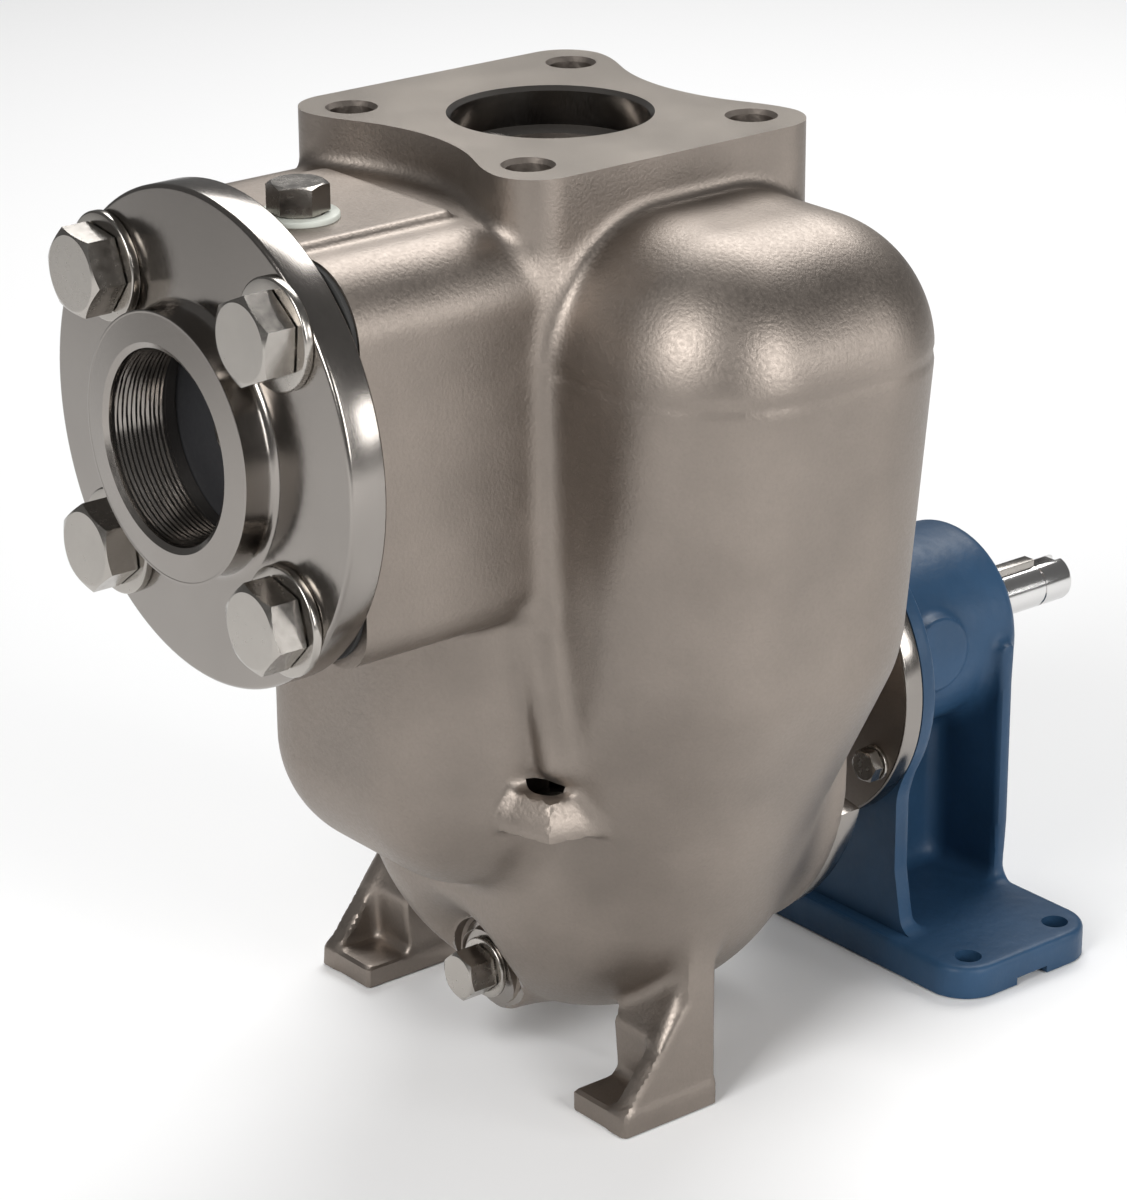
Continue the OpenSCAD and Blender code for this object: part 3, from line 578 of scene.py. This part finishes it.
def tank(p):
    """The priming tank: a domed box that narrows to a rounded drum."""
    x, y, z = p[:, 0], p[:, 1], p[:, 2]
    level = np.clip(z, LEVELS[0], LEVELS[-1])
    x0, x1 = np.interp(level, LEVELS, X_LOW), np.interp(level, LEVELS, X_HIGH)
    y0, y1 = np.interp(level, LEVELS, Y_LOW), np.interp(level, LEVELS, Y_HIGH)
    half_x, half_y = (x1 - x0) / 2, (y1 - y0) / 2
    mid_x, mid_y = (x0 + x1) / 2, (y0 + y1) / 2
    corner = np.interp(level, CORNER_LEVELS, CORNER_RADII)
    corner = np.minimum(corner, np.minimum(half_x, half_y) * 0.999)
    qa, qb = np.abs(x - mid_x) - half_x + corner, np.abs(y - mid_y) - half_y + corner
    qc = np.maximum(z - DOME_Z, 0)
    outer = np.sqrt(np.maximum(qa, 0) ** 2 + np.maximum(qb, 0) ** 2 + qc ** 2)
    inner = np.minimum(np.maximum(qa, qb), 0)
    inner = np.where(qc > 0, 0, inner)
    d = outer + inner - corner
    below = np.maximum(LEVELS[0] - z, 0)
    d = d + CREASE_DEPTH * np.exp(-((z - DOME_Z) / CREASE_WIDTH) ** 2)
    slope = np.interp(level, LEVELS, np.gradient(X_HIGH, LEVELS))
    return np.where(below > 0, np.hypot(np.maximum(d, 0), below), d / np.sqrt(1 + np.clip(slope, -3, 3) ** 2))


def chamber(p):
    """The suction chamber: an upright drum with a round bottom, under the nozzle."""
    x, y, z = p[:, 0], p[:, 1], p[:, 2]
    side = np.maximum(np.abs(x) - CHAMBER_STRAIGHT, 0)
    end = np.minimum(z - CHAMBER_LOW_Z, 0)
    column = np.sqrt(side ** 2 + (y - CHAMBER_Y) ** 2 + end ** 2) - CHAMBER_R
    return blend_max(column, z - SUCTION_Z, 8)


def pad2(x, y):
    """Outline of the discharge pad, hollowed between its ears in front and behind."""
    half_x, half_y, corner_r = NOZZLE_HALF, 57.15, 14.5
    hollow_r, hollow_y = 66, 111
    d = rect2(x, y, half_x, half_y, corner_r)
    for side in (-1, 1):
        d = blend_max(d, hollow_r - np.hypot(x, y - side * hollow_y), 6)
    return d


def foot(p):
    """Both front feet: a flat pad, an outer web up to the casing and a gusset inside it."""
    x, y, z = np.abs(p[:, 0]), p[:, 1], p[:, 2]
    pad = slab(rect2(x - 66, y + 155.5, 12.5, 18.5, 1), z, -3, 7, 1.2)
    web_outline = [(-174, -3), (-137, -3), (-137, 66), (-147, 66), (-148, 38), (-172, 8)]
    gusset_outline = [(-137, 3), (-156, 3), (-157.5, 26), (-147, 45), (-146, 66), (-137, 66)]
    web = slab(polygon2(y, z, web_outline), x, 71.5, 78.5, 1.2)
    gusset = slab(polygon2(y, z, gusset_outline), x, 53.5, 76, 1.5)
    return blend_min(blend_min(pad, web, 3), gusset, 4)


def rib(p):
    """The raised seam that runs from the nozzle's lower corner down to the gauge boss."""
    top, end, rib_r = np.array([55.0, -188.5, 170.0]), np.array([64.0, -187.5, 126.0]), 4.2
    t = np.clip((p - top) @ (end - top) / ((end - top) @ (end - top)), 0, 1)
    return np.linalg.norm(p - top - t[:, None] * (end - top), axis=1) - rib_r


def gauge_boss(p):
    """Hexagonal boss whose flanks slope in to its top face."""
    half_flats, first_normal, bottom, flank_start = 16, 46, 103.5, 107.5
    flank_out, flank_up = 0.89, 0.456
    x, y, z = p[:, 0] - GAUGE_X, p[:, 1] - GAUGE_Y, p[:, 2]
    reach = np.full(x.shape, -1e9)
    for k in range(3):
        t = math.radians(first_normal + 60 * k)
        reach = np.maximum(reach, np.abs(x * math.cos(t) + y * math.sin(t)))
    prism = reach - half_flats
    flank = (reach - half_flats) * flank_out + (z - flank_start) * flank_up
    return blend_max(blend_max(prism, flank, 1.5), blend_max(z - GAUGE_TOP, bottom - z, 1), 1.0)


def drain_dish(p):
    """The shallow cone that is sunk round the drain boss."""
    rim_r, narrowing, front, back, true_distance = 29, 12.5, -188, -171, 0.806
    r = np.hypot(p[:, 0] - DRAIN_X, p[:, 2] - DRAIN_Z)
    y = p[:, 1]
    return np.maximum((r - rim_r + (y - front) * narrowing / (back - front)) * true_distance, y - back)


def casing_outside(p):
    """The cast shape without its hollows. The last number of each blend is the size of the fillet."""
    x, y, z = p[:, 0], p[:, 1], p[:, 2]
    body = blend_max(tank(p), -drain_dish(p), 5)
    corner_r = np.where(z < SUCTION_Z, NOZZLE_LOWER_R, NOZZLE_UPPER_R)
    nozzle = slab(rect2(x, z - SUCTION_Z, NOZZLE_HALF, NOZZLE_HALF, corner_r), y, NOZZLE_FRONT - 3, -175)
    bowl = chamber(p)
    body = np.minimum(blend_min(body, nozzle, 9), blend_min(body, bowl, 8))
    body = np.minimum(body, blend_min(nozzle, bowl, 2.5))
    body = blend_min(body, rib(p), 9)
    strip = slab(rect2(x, y + 228, 31, 30, 3), z, 280, FILL_Z + 0.2, 1.2)
    body = blend_min(body, strip, 3)
    pad = slab(pad2(x, y - DISCHARGE_Y), z, 262, DISCHARGE_Z + 3)
    body = blend_min(body, pad, 5)
    seat_ring = slab(np.hypot(x, z - SHAFT_Z) - SEAT_RING_R, y, -104, SEAT_Y, 1.5)
    body = blend_min(body, seat_ring, 6)
    drain_boss = slab(np.hypot(x - DRAIN_X, z - DRAIN_Z) - 15.5, y, -167, -140, 1.5)
    body = blend_min(body, drain_boss, 6)
    body = blend_min(body, gauge_boss(p), 4)
    return blend_min(body, foot(p), 5)


def casing_hollow(p):
    """The water space: the suction side, and the tank's inside less what backs the seat ring and the dish."""
    x, y, z = p[:, 0], p[:, 1], p[:, 2]
    ring_backing = slab(np.hypot(x, z - SHAFT_Z) - SEAT_RING_R, y, -104, -70)
    drain_backing = slab(np.hypot(x - DRAIN_X, z - DRAIN_Z) - 26.5, y, -190, -161)
    inner = np.maximum(tank(p) + WALL, -np.minimum(ring_backing, drain_backing))
    room = np.maximum(chamber(p) + WALL, np.maximum(y + 187, z - 262))
    bore = slab(np.hypot(x, z - SUCTION_Z) - NOZZLE_BORE_R, y, -270, -187)
    return np.minimum(inner, blend_min(room, bore, 4))


def casing_field(p):
    """The hollow casting, before machining."""
    return np.maximum(casing_outside(p), -casing_hollow(p))


# ---------------------------------------------------------------- casing, machined
def discharge_port():
    """Cutter for the discharge port, a two-step bore with a broken edge."""
    chamfer, step_z, foot_z = 1.4, 291, 262
    profile = [(0, -DISCHARGE_Z - 1), (PORT_R + chamfer, -DISCHARGE_Z - 1), (PORT_R + chamfer, -DISCHARGE_Z),
               (PORT_R, -DISCHARGE_Z + chamfer), (PORT_R, -step_z), (PORT_LOWER_R, -step_z + 2),
               (PORT_LOWER_R, -foot_z), (0, -foot_z)]
    return upright(lathe("port", profile, 0, 0, 128), 0, DISCHARGE_Y, 0)


def bolt_holes():
    """Cutter for the tapped holes of the pad and of the nozzle's front."""
    pad_hole = [(0, -304), (8.6, -304), (8.0, -DISCHARGE_Z), (PAD_HOLE_R, -301.6), (PAD_HOLE_R, -280),
                (0, -277)]
    holes = []
    for sx, sy in CORNERS:
        x, across = sx * BOLT_HALF, sy * BOLT_HALF
        holes.append(upright(lathe("hole", pad_hole, 0, 0, 48), x, DISCHARGE_Y + across, 0))
        holes.append(rod(NOZZLE_FRONT - 1, NOZZLE_FRONT + 26, 7.9, x, SUCTION_Z + across, 48))
    return joined("holes", holes)


def make_casing():
    """The cast body, with its faces milled and its holes bored."""
    verts, quads = surface(casing_field, (-86, -262, -6), (138, -70, 312), 1.6)
    casing = mesh_from("casing", verts, quads)
    spot_face = [(12.5, -196), (16.5, -196), (16.5, -168), (15.5, -167), (13.2, -167), (12.5, -168)]
    seat = [(0, -120), (SEAT_BORE_R, -120), (SEAT_BORE_R, SEAT_Y), (SEAT_RING_R, SEAT_Y), (SEAT_RING_R, -70),
            (0, -70)]
    cutters = [
        cube((-100, -200, DISCHARGE_Z), (150, -60, 330)),
        cube((-100, -280, -20), (150, -60, 0)),
        cube((-100, -290, 120), (100, NOZZLE_FRONT, 330)),
        discharge_port(),
        bolt_holes(),
        lathe("seat", seat, n=160),
        cube((-18, -110, SHAFT_Z + 50), (18, -98, SHAFT_Z + 74)),
        rod(-188, -163, 30.1),
        lathe("spot", spot_face, DRAIN_X, DRAIN_Z, 96),
        joined("plug_holes", [
            rod(-196, DRAIN_Y, 12.4, DRAIN_X, DRAIN_Z),
            post(230, 292, 7.5, FILL_X, FILL_Y, 64),
            post(106, 118.5, GAUGE_R, GAUGE_X, GAUGE_Y, 64),
        ]),
        rod(-175, -130, 6, DRAIN_X, DRAIN_Z, 64),
    ]
    for cutter in cutters:
        casing = boolean(casing, cutter)
    piece = place(new_object("casing_cast", casing), "pump", CAST, ("casing",), 32)

    def port_wall(c, n):
        return c.z > 288 and math.hypot(c.x, c.y - DISCHARGE_Y) < 31.5 and n.z < 0.9

    def drain_face(c, n):
        return c.y < -166 and math.hypot(c.x - DRAIN_X, c.z - DRAIN_Z) < 17 and n.y < -0.9

    finish(piece, PAD_TOP, lambda c, n: c.z > DISCHARGE_Z - 0.05 and n.z > 0.9)
    finish(piece, MACHINED, lambda c, n: port_wall(c, n) or drain_face(c, n))


make_casing()


# ---------------------------------------------------------------- hex screws, flange bolts and washers
def hex_head(flats, height, shank_r, shank_l):
    """A screw along +Y, its seat at y = 0: chamfered head on a washer face, shank with a chamfered tip."""
    corner = flats / 2 / math.cos(math.pi / 6) + 0.05
    flat = flats * 0.475
    drop = (corner - flat) * math.tan(math.radians(26))
    head = extrude("head", hexagon(flats), -height, -0.5, axis="Y")
    turned = [(0, -height), (flat, -height), (corner, -height + drop), (corner, 1), (0, 1)]
    head = boolean(head, lathe("turned", turned, 0, 0, 96), "INTERSECT")
    shank = lathe("shank", [(0, shank_l), (shank_r - 1, shank_l), (shank_r, shank_l - 1), (shank_r, 0.0),
                            (flat, 0.0), (flat, -0.7), (0, -0.7)], 0, 0, 64)
    return boolean(head, shank, "UNION")


def make_flange_bolts():
    """Four bolts, each stopped at its own angle, and their washers."""
    spins = (22, 8, 14, 36)
    bolt = hex_head(23.8, 10.7, 7.9, 41.6)
    bolts = [moved(bolt, sx * BOLT_HALF, SUCTION_Y - FLANGE_WASHER_T, SUCTION_Z + sz * BOLT_HALF, spin)
             for (sx, sz), spin in zip(CORNERS, spins)]
    bolts = new_object("flange_bolts_hex", joined("flange_bolts_hex", bolts))
    place(bolts, "pump", FASTENER, ("flange_bolts",), 20)
    washer = ring(SUCTION_Y - FLANGE_WASHER_T, SUCTION_Y, 16.5, 7.95, 0.7, 96, 0, 0)
    washers = [moved(washer, sx * BOLT_HALF, 0, SUCTION_Z + sz * BOLT_HALF) for sx, sz in CORNERS]
    washers = new_object("flange_washers_flat", joined("flange_washers_flat", washers))
    place(washers, "pump", FASTENER, ("flange_washers",))


make_flange_bolts()


# ---------------------------------------------------------------- suction flange with its thread, and gasket
THREAD_START, THREAD_END, THREAD_PITCH, THREAD_HEIGHT = -278.6, -259.6, 1.6, 0.4


def thread_shift(angle, r, y):
    """Radius of the bore with the thread's ridges on it, faded out at both ends."""
    if not THREAD_START <= y <= THREAD_END or r > 30:
        return r
    fade = min(1.0, (y - THREAD_START) / 1.5, (THREAD_END - y) / 1.5)
    phase = (y / THREAD_PITCH + angle / (2 * math.pi)) % 1.0
    return r + THREAD_HEIGHT * fade * (abs(2 * phase - 1) - 0.35)


def make_suction_flange():
    hub_front, hub_r, rim_r, thread_r, recess_r, recess_end = -280.5, 39, 74.5, 29.2, 31, -259
    outer = fillet([(hub_r, hub_front, 0.9), (hub_r, SUCTION_Y, 3.0), (rim_r, SUCTION_Y, 1.4),
                    (rim_r, FLANGE_BACK, 0.8)], 5)
    rows = np.linspace(THREAD_END, THREAD_START, 124)
    recess = [(recess_r, FLANGE_BACK), (recess_r, recess_end)]
    mouth = [(29.4, -279.4)]
    profile = [(31.2, hub_front)] + outer + recess + [(thread_r, y) for y in rows] + mouth
    flange = lathe("flange", profile, 0, SUCTION_Z, 144, thread_shift)
    hole = [(0, -270), (9.3, -270), (9.3, SUCTION_Y), (8.7, -267.4), (8.7, -254), (0, -254)]
    flange = boolean(flange, joined("bolt_holes", [
        lathe("hole", hole, sx * BOLT_HALF, SUCTION_Z + sz * BOLT_HALF, 48) for sx, sz in CORNERS]))
    flange = new_object("suction_flange_turned", flange)
    place(flange, "pump", MACHINED, ("suction_flange",), 30)


def make_suction_gasket():
    """The sheet between flange and nozzle."""
    gasket = extrude("gasket", rounded_rect(119, 119, 22), FLANGE_BACK, NOZZLE_FRONT, 0.25, "Y", 2)
    gasket.transform(Matrix.Translation(Vector((0, 0, SUCTION_Z)) * MM))
    gasket = boolean(gasket, joined("cuts", [rod(-260, -250, NOZZLE_BORE_R, 0, SUCTION_Z)] + [
        rod(-260, -250, 8.7, sx * BOLT_HALF, SUCTION_Z + sz * BOLT_HALF, 48) for sx, sz in CORNERS]))
    place(new_object("suction_gasket_sheet", gasket), "pump", SHEET, ("suction_gasket",))


make_suction_flange()
make_suction_gasket()


# ---------------------------------------------------------------- plugs
def make_fill_plug():
    """Hex plug and sealing ring on top of the nozzle."""
    ring_t = 2
    fill = upright(hex_head(16, 9, 7.5, 14), FILL_X, FILL_Y, FILL_Z + ring_t, 10)
    place(new_object("fill_plug_hex", fill), "pump", FASTENER, ("fill_plug",), 20)
    seal = upright(ring(-ring_t, 0, 12, 7.55, 0.6, 72, 0, 0), FILL_X, FILL_Y, FILL_Z)
    place(new_object("fill_plug_gasket_ring", seal), "pump", PALE, ("fill_plug_gasket",))


def make_gauge_plug():
    """Plug with a hexagon socket, sunk in the gauge boss. low and high are above base."""
    base, low, high, plug_r = 101.5, 4.8, 9, 8.95
    profile = [(0, -high, 0), (plug_r, -high, 0.7), (plug_r, -low, 0.4), (0, -low, 0)]
    plug = lathe("gauge", fillet(profile, 3), 0, 0, 72)
    plug = boolean(plug, extrude("socket", hexagon(9.7), -10, -6, axis="Y"))
    upright(plug, GAUGE_X, GAUGE_Y, base)
    place(new_object("gauge_plug_socket", plug), "pump", FASTENER, ("gauge_plug",), 25)


def make_drain_plug():
    """Hex plug and washer low on the front."""
    washer_t = 2
    drain = moved(hex_head(14.3, 10, 6, 20), DRAIN_X, DRAIN_Y - washer_t, DRAIN_Z, 18)
    place(new_object("drain_plug_hex", drain), "pump", FASTENER, ("drain_plug",), 20)
    washer = ring(DRAIN_Y - washer_t, DRAIN_Y, 10, 6.05, 0.6, 72, DRAIN_X, DRAIN_Z)
    washer = new_object("drain_plug_washer_ring", washer)
    place(washer, "pump", FASTENER, ("drain_plug_washer",))


make_fill_plug()
make_gauge_plug()
make_drain_plug()


# ---------------------------------------------------------------- adapter and its screws
def make_adapter():
    """Back plate with two flats, neck, and round rear flange, bored for the seal."""
    flats_from = -17
    outline = []
    for k in range(240):
        t = 2 * math.pi * k / 240
        a, b = ADAPTER_R * math.cos(t), ADAPTER_R * math.sin(t)
        outline.append((max(-ADAPTER_HALF_WIDTH, min(ADAPTER_HALF_WIDTH, a)) if b > flats_from else a, b))
    plate = extrude("front", outline, SEAT_Y, SEAT_Y + 9, 0.8, "Y", 2)
    plate.transform(Matrix.Translation(Vector((0, 0, SHAFT_Z)) * MM))
    neck = lathe("neck", fillet([
        (0, -88, 0), (60.7, -88, 1), (60.7, -79, 0), (60.7, -72, 0), (60, -71.5, 0), (36, -71.2, 5),
        (30, -60, 6), (30, REAR_FLANGE_Y, 5), (REAR_FLANGE_R, REAR_FLANGE_Y, 0.9),
        (REAR_FLANGE_R, PEDESTAL_FACE_Y, 0.8),
        (38.05, PEDESTAL_FACE_Y, 0), (38.05, -29.2, 0), (0, -29.2, 0)], 4), n=144)
    adapter = boolean(plate, neck, "UNION")
    bore = [(0, -89), (20, -89), (20, -77.5), (15.5, -77.5), (15.5, -70.5), (9.3, -70.5), (9.3, -63.5),
            (20, -63.5), (20, -28), (0, -28)]
    adapter = boolean(adapter, lathe("bore", bore, n=96))
    screw_hole = [(0, -82), (3.3, -82), (3.3, -77.4), (5.3, -77.4), (5.3, -71.4), (5.8, -70.9), (5.8, -69),
                  (0, -69)]
    adapter = boolean(adapter, joined("cuts", [
        lathe("hole", screw_hole, *polar(angle, SCREW_CIRCLE_R), 40) for angle in SCREW_ANGLES]))
    adapter = boolean(adapter, joined("cuts", [
        rod(-38, -25, 3.3, *polar(angle, BOLT_CIRCLE_R), 32) for angle in BOLT_ANGLES]
        + [post(60, 84, 7, 0, -52, 48)]))
    piece = place(new_object("adapter_turned", adapter), "pump", CAST, ("adapter",), 28)

    def plate_rim(c, n):
        return c.y < -70.5 and abs(n.y) < 0.7 and math.hypot(c.x, c.z - SHAFT_Z) > 61

    def rear_rim(c, n):
        return -34 < c.y and math.hypot(c.x, c.z - SHAFT_Z) > 52

    finish(piece, MACHINED, lambda c, n: plate_rim(c, n) or rear_rim(c, n))


def make_adapter_screws():
    """Socket-head screws in their counterbores."""
    profile = [(0, -12, 0), (3, -12, 0.5), (3, 2.8, 0), (5, 2.8, 0), (5, 8.8, 0.7), (0, 8.8, 0)]
    cap = lathe("cap", fillet(profile, 3), 0, 0, 40)
    cap = boolean(cap, extrude("socket", hexagon(5), 5.8, 10, axis="Y"))
    screws = []
    for angle in SCREW_ANGLES:
        cx, cz = polar(angle, SCREW_CIRCLE_R)
        screws.append(moved(cap, cx, SEAT_Y, cz, 30))
    screws = new_object("adapter_screws_socket", joined("adapter_screws_socket", screws))
    place(screws, "pump", FASTENER, ("adapter_screws",), 25)


make_adapter()
make_adapter_screws()


# ---------------------------------------------------------------- pedestal and its bolts
def pedestal_field(p):
    """Cast shape of the pedestal: base, two uprights and the web between them, barrel, flange, side boss."""
    x, y, z = p[:, 0], p[:, 1], p[:, 2]
    front_outline = [(-47, 6), (47, 6), (42, 33), (42, 90), (-42, 90), (-42, 33)]
    rear_outline = [(-35.5, 6), (35.5, 6), (37, 33), (37, SHAFT_Z), (-37, SHAFT_Z), (-37, 33)]
    body = slab(rect2(x, y, 82, 32, 14), z, -4, 11, 2.2)
    body = blend_min(body, slab(polygon2(x, z, front_outline), y, -29, -19.5, 1.6), 6)
    body = blend_min(body, slab(polygon2(x, z, rear_outline), y, 27, 32.5, 2), 6)
    web = slab(np.abs(x) - 6, y, -24, 26, 1)
    web = np.maximum(web, z - 96)
    body = blend_min(body, np.maximum(web, 5 - z), 7)
    flange = slab(np.hypot(x, z - SHAFT_Z) - REAR_FLANGE_R, y, -30, -20, 1.6)
    body = blend_min(body, flange, 5)
    barrel = slab(np.hypot(x, z - SHAFT_Z) - 33, y, -22, 39, 5)
    body = blend_min(body, barrel, 6)
    side_boss = slab(np.hypot(y, z - SIDE_BOSS_Z) - 13, x, 15, 34, 1.2)
    return blend_min(body, side_boss, 2.5)


def make_pedestal():
    """The casting with its face, bore and holes machined and its base relieved underneath."""
    verts, quads = surface(pedestal_field, (-85, -33, -7), (85, 42, 154), 1.25)
    pedestal = mesh_from("pedestal", verts, quads)
    face = [(38, -40), (70, -40), (70, PEDESTAL_FACE_Y), (38, PEDESTAL_FACE_Y)]
    bore = [(0, -45), (15, -45), (15, -19), (20, -19), (20, 38.4), (20.8, 39), (20.8, 45), (0, 45)]
    cutters = [
        cube((-100, -50, -20), (100, 50, 0)),
        lathe("face", face, n=128),
        cube((-100, -50, 11.2), (100, PEDESTAL_FACE_Y, 44)),
        rod(-45, -29, 39),
        cube((-83, -7, -1), (83, 7, 2.5)),
        lathe("bore", bore, n=128),
        joined("cuts", [
            post(-1, 12, BASE_HOLE_R, sx * BASE_HALF_X, sy * BASE_HALF_Y, 48) for sx, sy in CORNERS]),
        joined("cuts", [rod(-27, -16, 3, *polar(angle, BOLT_CIRCLE_R), 32) for angle in BOLT_ANGLES]),
    ]
    for cutter in cutters:
        pedestal = boolean(pedestal, cutter)
    place(new_object("pedestal_cast", pedestal), "pump", BLUE, ("pedestal",), 32)


def make_pedestal_bolts():
    """Six small bolts through the adapter's rear flange, each turned a little further, and their washers."""
    seat = REAR_FLANGE_Y - PEDESTAL_WASHER_T
    small = hex_head(10, 4.5, 3, 18)
    bolts, washers = [], []
    for k, angle in enumerate(BOLT_ANGLES):
        x, z = polar(angle, BOLT_CIRCLE_R)
        bolts.append(moved(small, x, seat, z, 11 * k))
        washers.append(ring(seat, REAR_FLANGE_Y, 6, 3.05, 0.3, 48, x, z))
    bolts = new_object("pedestal_bolts_hex", joined("pedestal_bolts_hex", bolts))
    place(bolts, "pump", FASTENER, ("pedestal_bolts",), 20)
    washers = new_object("pedestal_washers_flat", joined("pedestal_washers_flat", washers))
    place(washers, "pump", FASTENER, ("pedestal_washers",))


make_pedestal()
make_pedestal_bolts()


# ---------------------------------------------------------------- shaft and key
def key_outline(end, start_r, end_r):
    """Plan of the key or of its slot, with the corner radius at either end."""
    return fillet([(-KEY_HALF, KEY_START, start_r), (KEY_HALF, KEY_START, start_r), (KEY_HALF, end, end_r),
                   (-KEY_HALF, end, end_r)], 5)


def make_shaft():
    """The ground shaft with its steps, snap-ring groove and two keyways."""
    relief_r = SHAFT_END_R - 0.3
    shaft = lathe("shaft", fillet([
        (0, -118, 0), (5.5, -118, 1.0), (5.5, -106, 0), (6.35, -106, 0.5), (6.35, -90, 0), (8.5, -90, 0.6),
        (8.5, -7, 0.4), (10.5, -7, 0.8), (10.5, 20, 0.8), (8.5, 20, 0.4), (8.5, 42, 0.5),
        (SHAFT_END_R, 42.4, 0), (SHAFT_END_R, KEY_END, 0),
        (relief_r, KEY_END, 0), (relief_r, KEY_END + 1.2, 0),
        (SHAFT_END_R, KEY_END + 1.2, 0), (SHAFT_END_R, 90, 1.5), (0, 90, 0)], 3), n=96)
    groove = [(8, -20.4), (12, -20.4), (12, -19.2), (8, -19.2)]
    shaft = boolean(shaft, lathe("groove", groove, n=96))
    shaft = boolean(shaft, joined("keyway", [
        extrude("slot", key_outline(95, 2.3, 0), KEY_FLOOR, SHAFT_Z + 12, axis="Z"),
        cube((-1.5, -104, SHAFT_Z + 4.5), (1.5, -92, SHAFT_Z + 10))]))
    place(new_object("shaft_ground", shaft), "rotor", SHAFT_STEEL, ("shaft",), 30)


def make_shaft_key():
    """The key at the drive end."""
    key = extrude("key", key_outline(KEY_END, 2.2, 0.3), KEY_FLOOR, SHAFT_Z + 10.32, 0.3, "Z", 2)
    place(new_object("shaft_key_bar", key), "rotor", FASTENER, ("shaft_key",), 30)


make_shaft()
make_shaft_key()


# ---------------------------------------------------------------- floor, light and camera, metres
FLOOR_HALF, FLOOR_Z = 6.0, -0.0005
WORLD_STRENGTH = 0.15
LIGHT_AIM = (0.02, -0.12, 0.15)
# name, place, size, watts
LIGHTS = [
    ("front", (0.42, -1.60, 1.15), (0.7, 1.1), 25),
    ("side", (1.60, -0.05, 0.72), (0.6, 0.9), 14),
    ("top", (-0.8, 0.9, 1.75), (1.6, 1.0), 34),
    ("card", (1.30, 0.84, 0.50), (0.45, 0.40), 4),
]
CAMERA_AT = (0.923835, -0.881011, 0.61312)
CAMERA_RIGHT = (0.630948, 0.775805, -0.005658)
CAMERA_UP = (-0.28135, 0.235602, 0.930233)
CAMERA_BACK = (0.723012, -0.585337, 0.366925)
FOCAL_LENGTH, SENSOR_WIDTH = 121.70247, 36


def make_floor():
    """A pale ground plane just under the feet."""
    mesh = bpy.data.meshes.new("floor")
    corners = [(-FLOOR_HALF, -FLOOR_HALF), (FLOOR_HALF, -FLOOR_HALF), (FLOOR_HALF, FLOOR_HALF),
               (-FLOOR_HALF, FLOOR_HALF)]
    mesh.from_pydata([(x, y, FLOOR_Z) for x, y in corners], [], [(0, 1, 2, 3)])
    floor = new_object("floor", mesh)
    m = bpy.data.materials.new("pale_floor")
    m.use_nodes = True
    shader = m.node_tree.nodes["Principled BSDF"]
    noise = m.node_tree.nodes.new("ShaderNodeTexNoise")
    noise.inputs["Scale"].default_value = 3
    ramp = m.node_tree.nodes.new("ShaderNodeValToRGB")
    ramp.color_ramp.elements[0].color = (0.88, 0.88, 0.88, 1)
    ramp.color_ramp.elements[1].color = (0.92, 0.92, 0.92, 1)
    m.node_tree.links.new(noise.outputs["Fac"], ramp.inputs["Fac"])
    m.node_tree.links.new(ramp.outputs["Color"], shader.inputs["Base Color"])
    shader.inputs["Roughness"].default_value = 0.9
    shader.inputs["Specular IOR Level"].default_value = 0.1
    mesh.materials.append(m)


def soft_light(name, at, size, watts):
    """A rectangular area light that faces the pump."""
    lamp = bpy.data.lights.new(name, "AREA")
    lamp.shape = "RECTANGLE"
    lamp.size, lamp.size_y = size
    lamp.energy = watts
    obj = new_object(name, lamp)
    obj.location = at
    obj.rotation_euler = (Vector(LIGHT_AIM) - Vector(at)).to_track_quat("-Z", "Y").to_euler()


def make_world():
    """Even white surroundings."""
    world = bpy.data.worlds.new("studio")
    bpy.context.scene.world = world
    world.use_nodes = True
    background = world.node_tree.nodes["Background"]
    background.inputs["Color"].default_value = (1.0, 1.0, 1.0, 1)
    background.inputs["Strength"].default_value = WORLD_STRENGTH
    bpy.context.scene.view_settings.view_transform = "Standard"


def make_camera():
    """A long lens from the right of the suction end, a little above the pump."""
    data = bpy.data.cameras.new("camera")
    camera = new_object("camera", data)
    data.sensor_width = SENSOR_WIDTH
    data.lens = FOCAL_LENGTH
    data.clip_start, data.clip_end = 0.05, 50
    camera.matrix_world = Matrix([*zip(CAMERA_RIGHT, CAMERA_UP, CAMERA_BACK, CAMERA_AT), (0, 0, 0, 1)])
    bpy.context.scene.camera = camera


make_floor()
make_world()
for name, at, size, watts in LIGHTS:
    soft_light(name, at, size, watts)
make_camera()
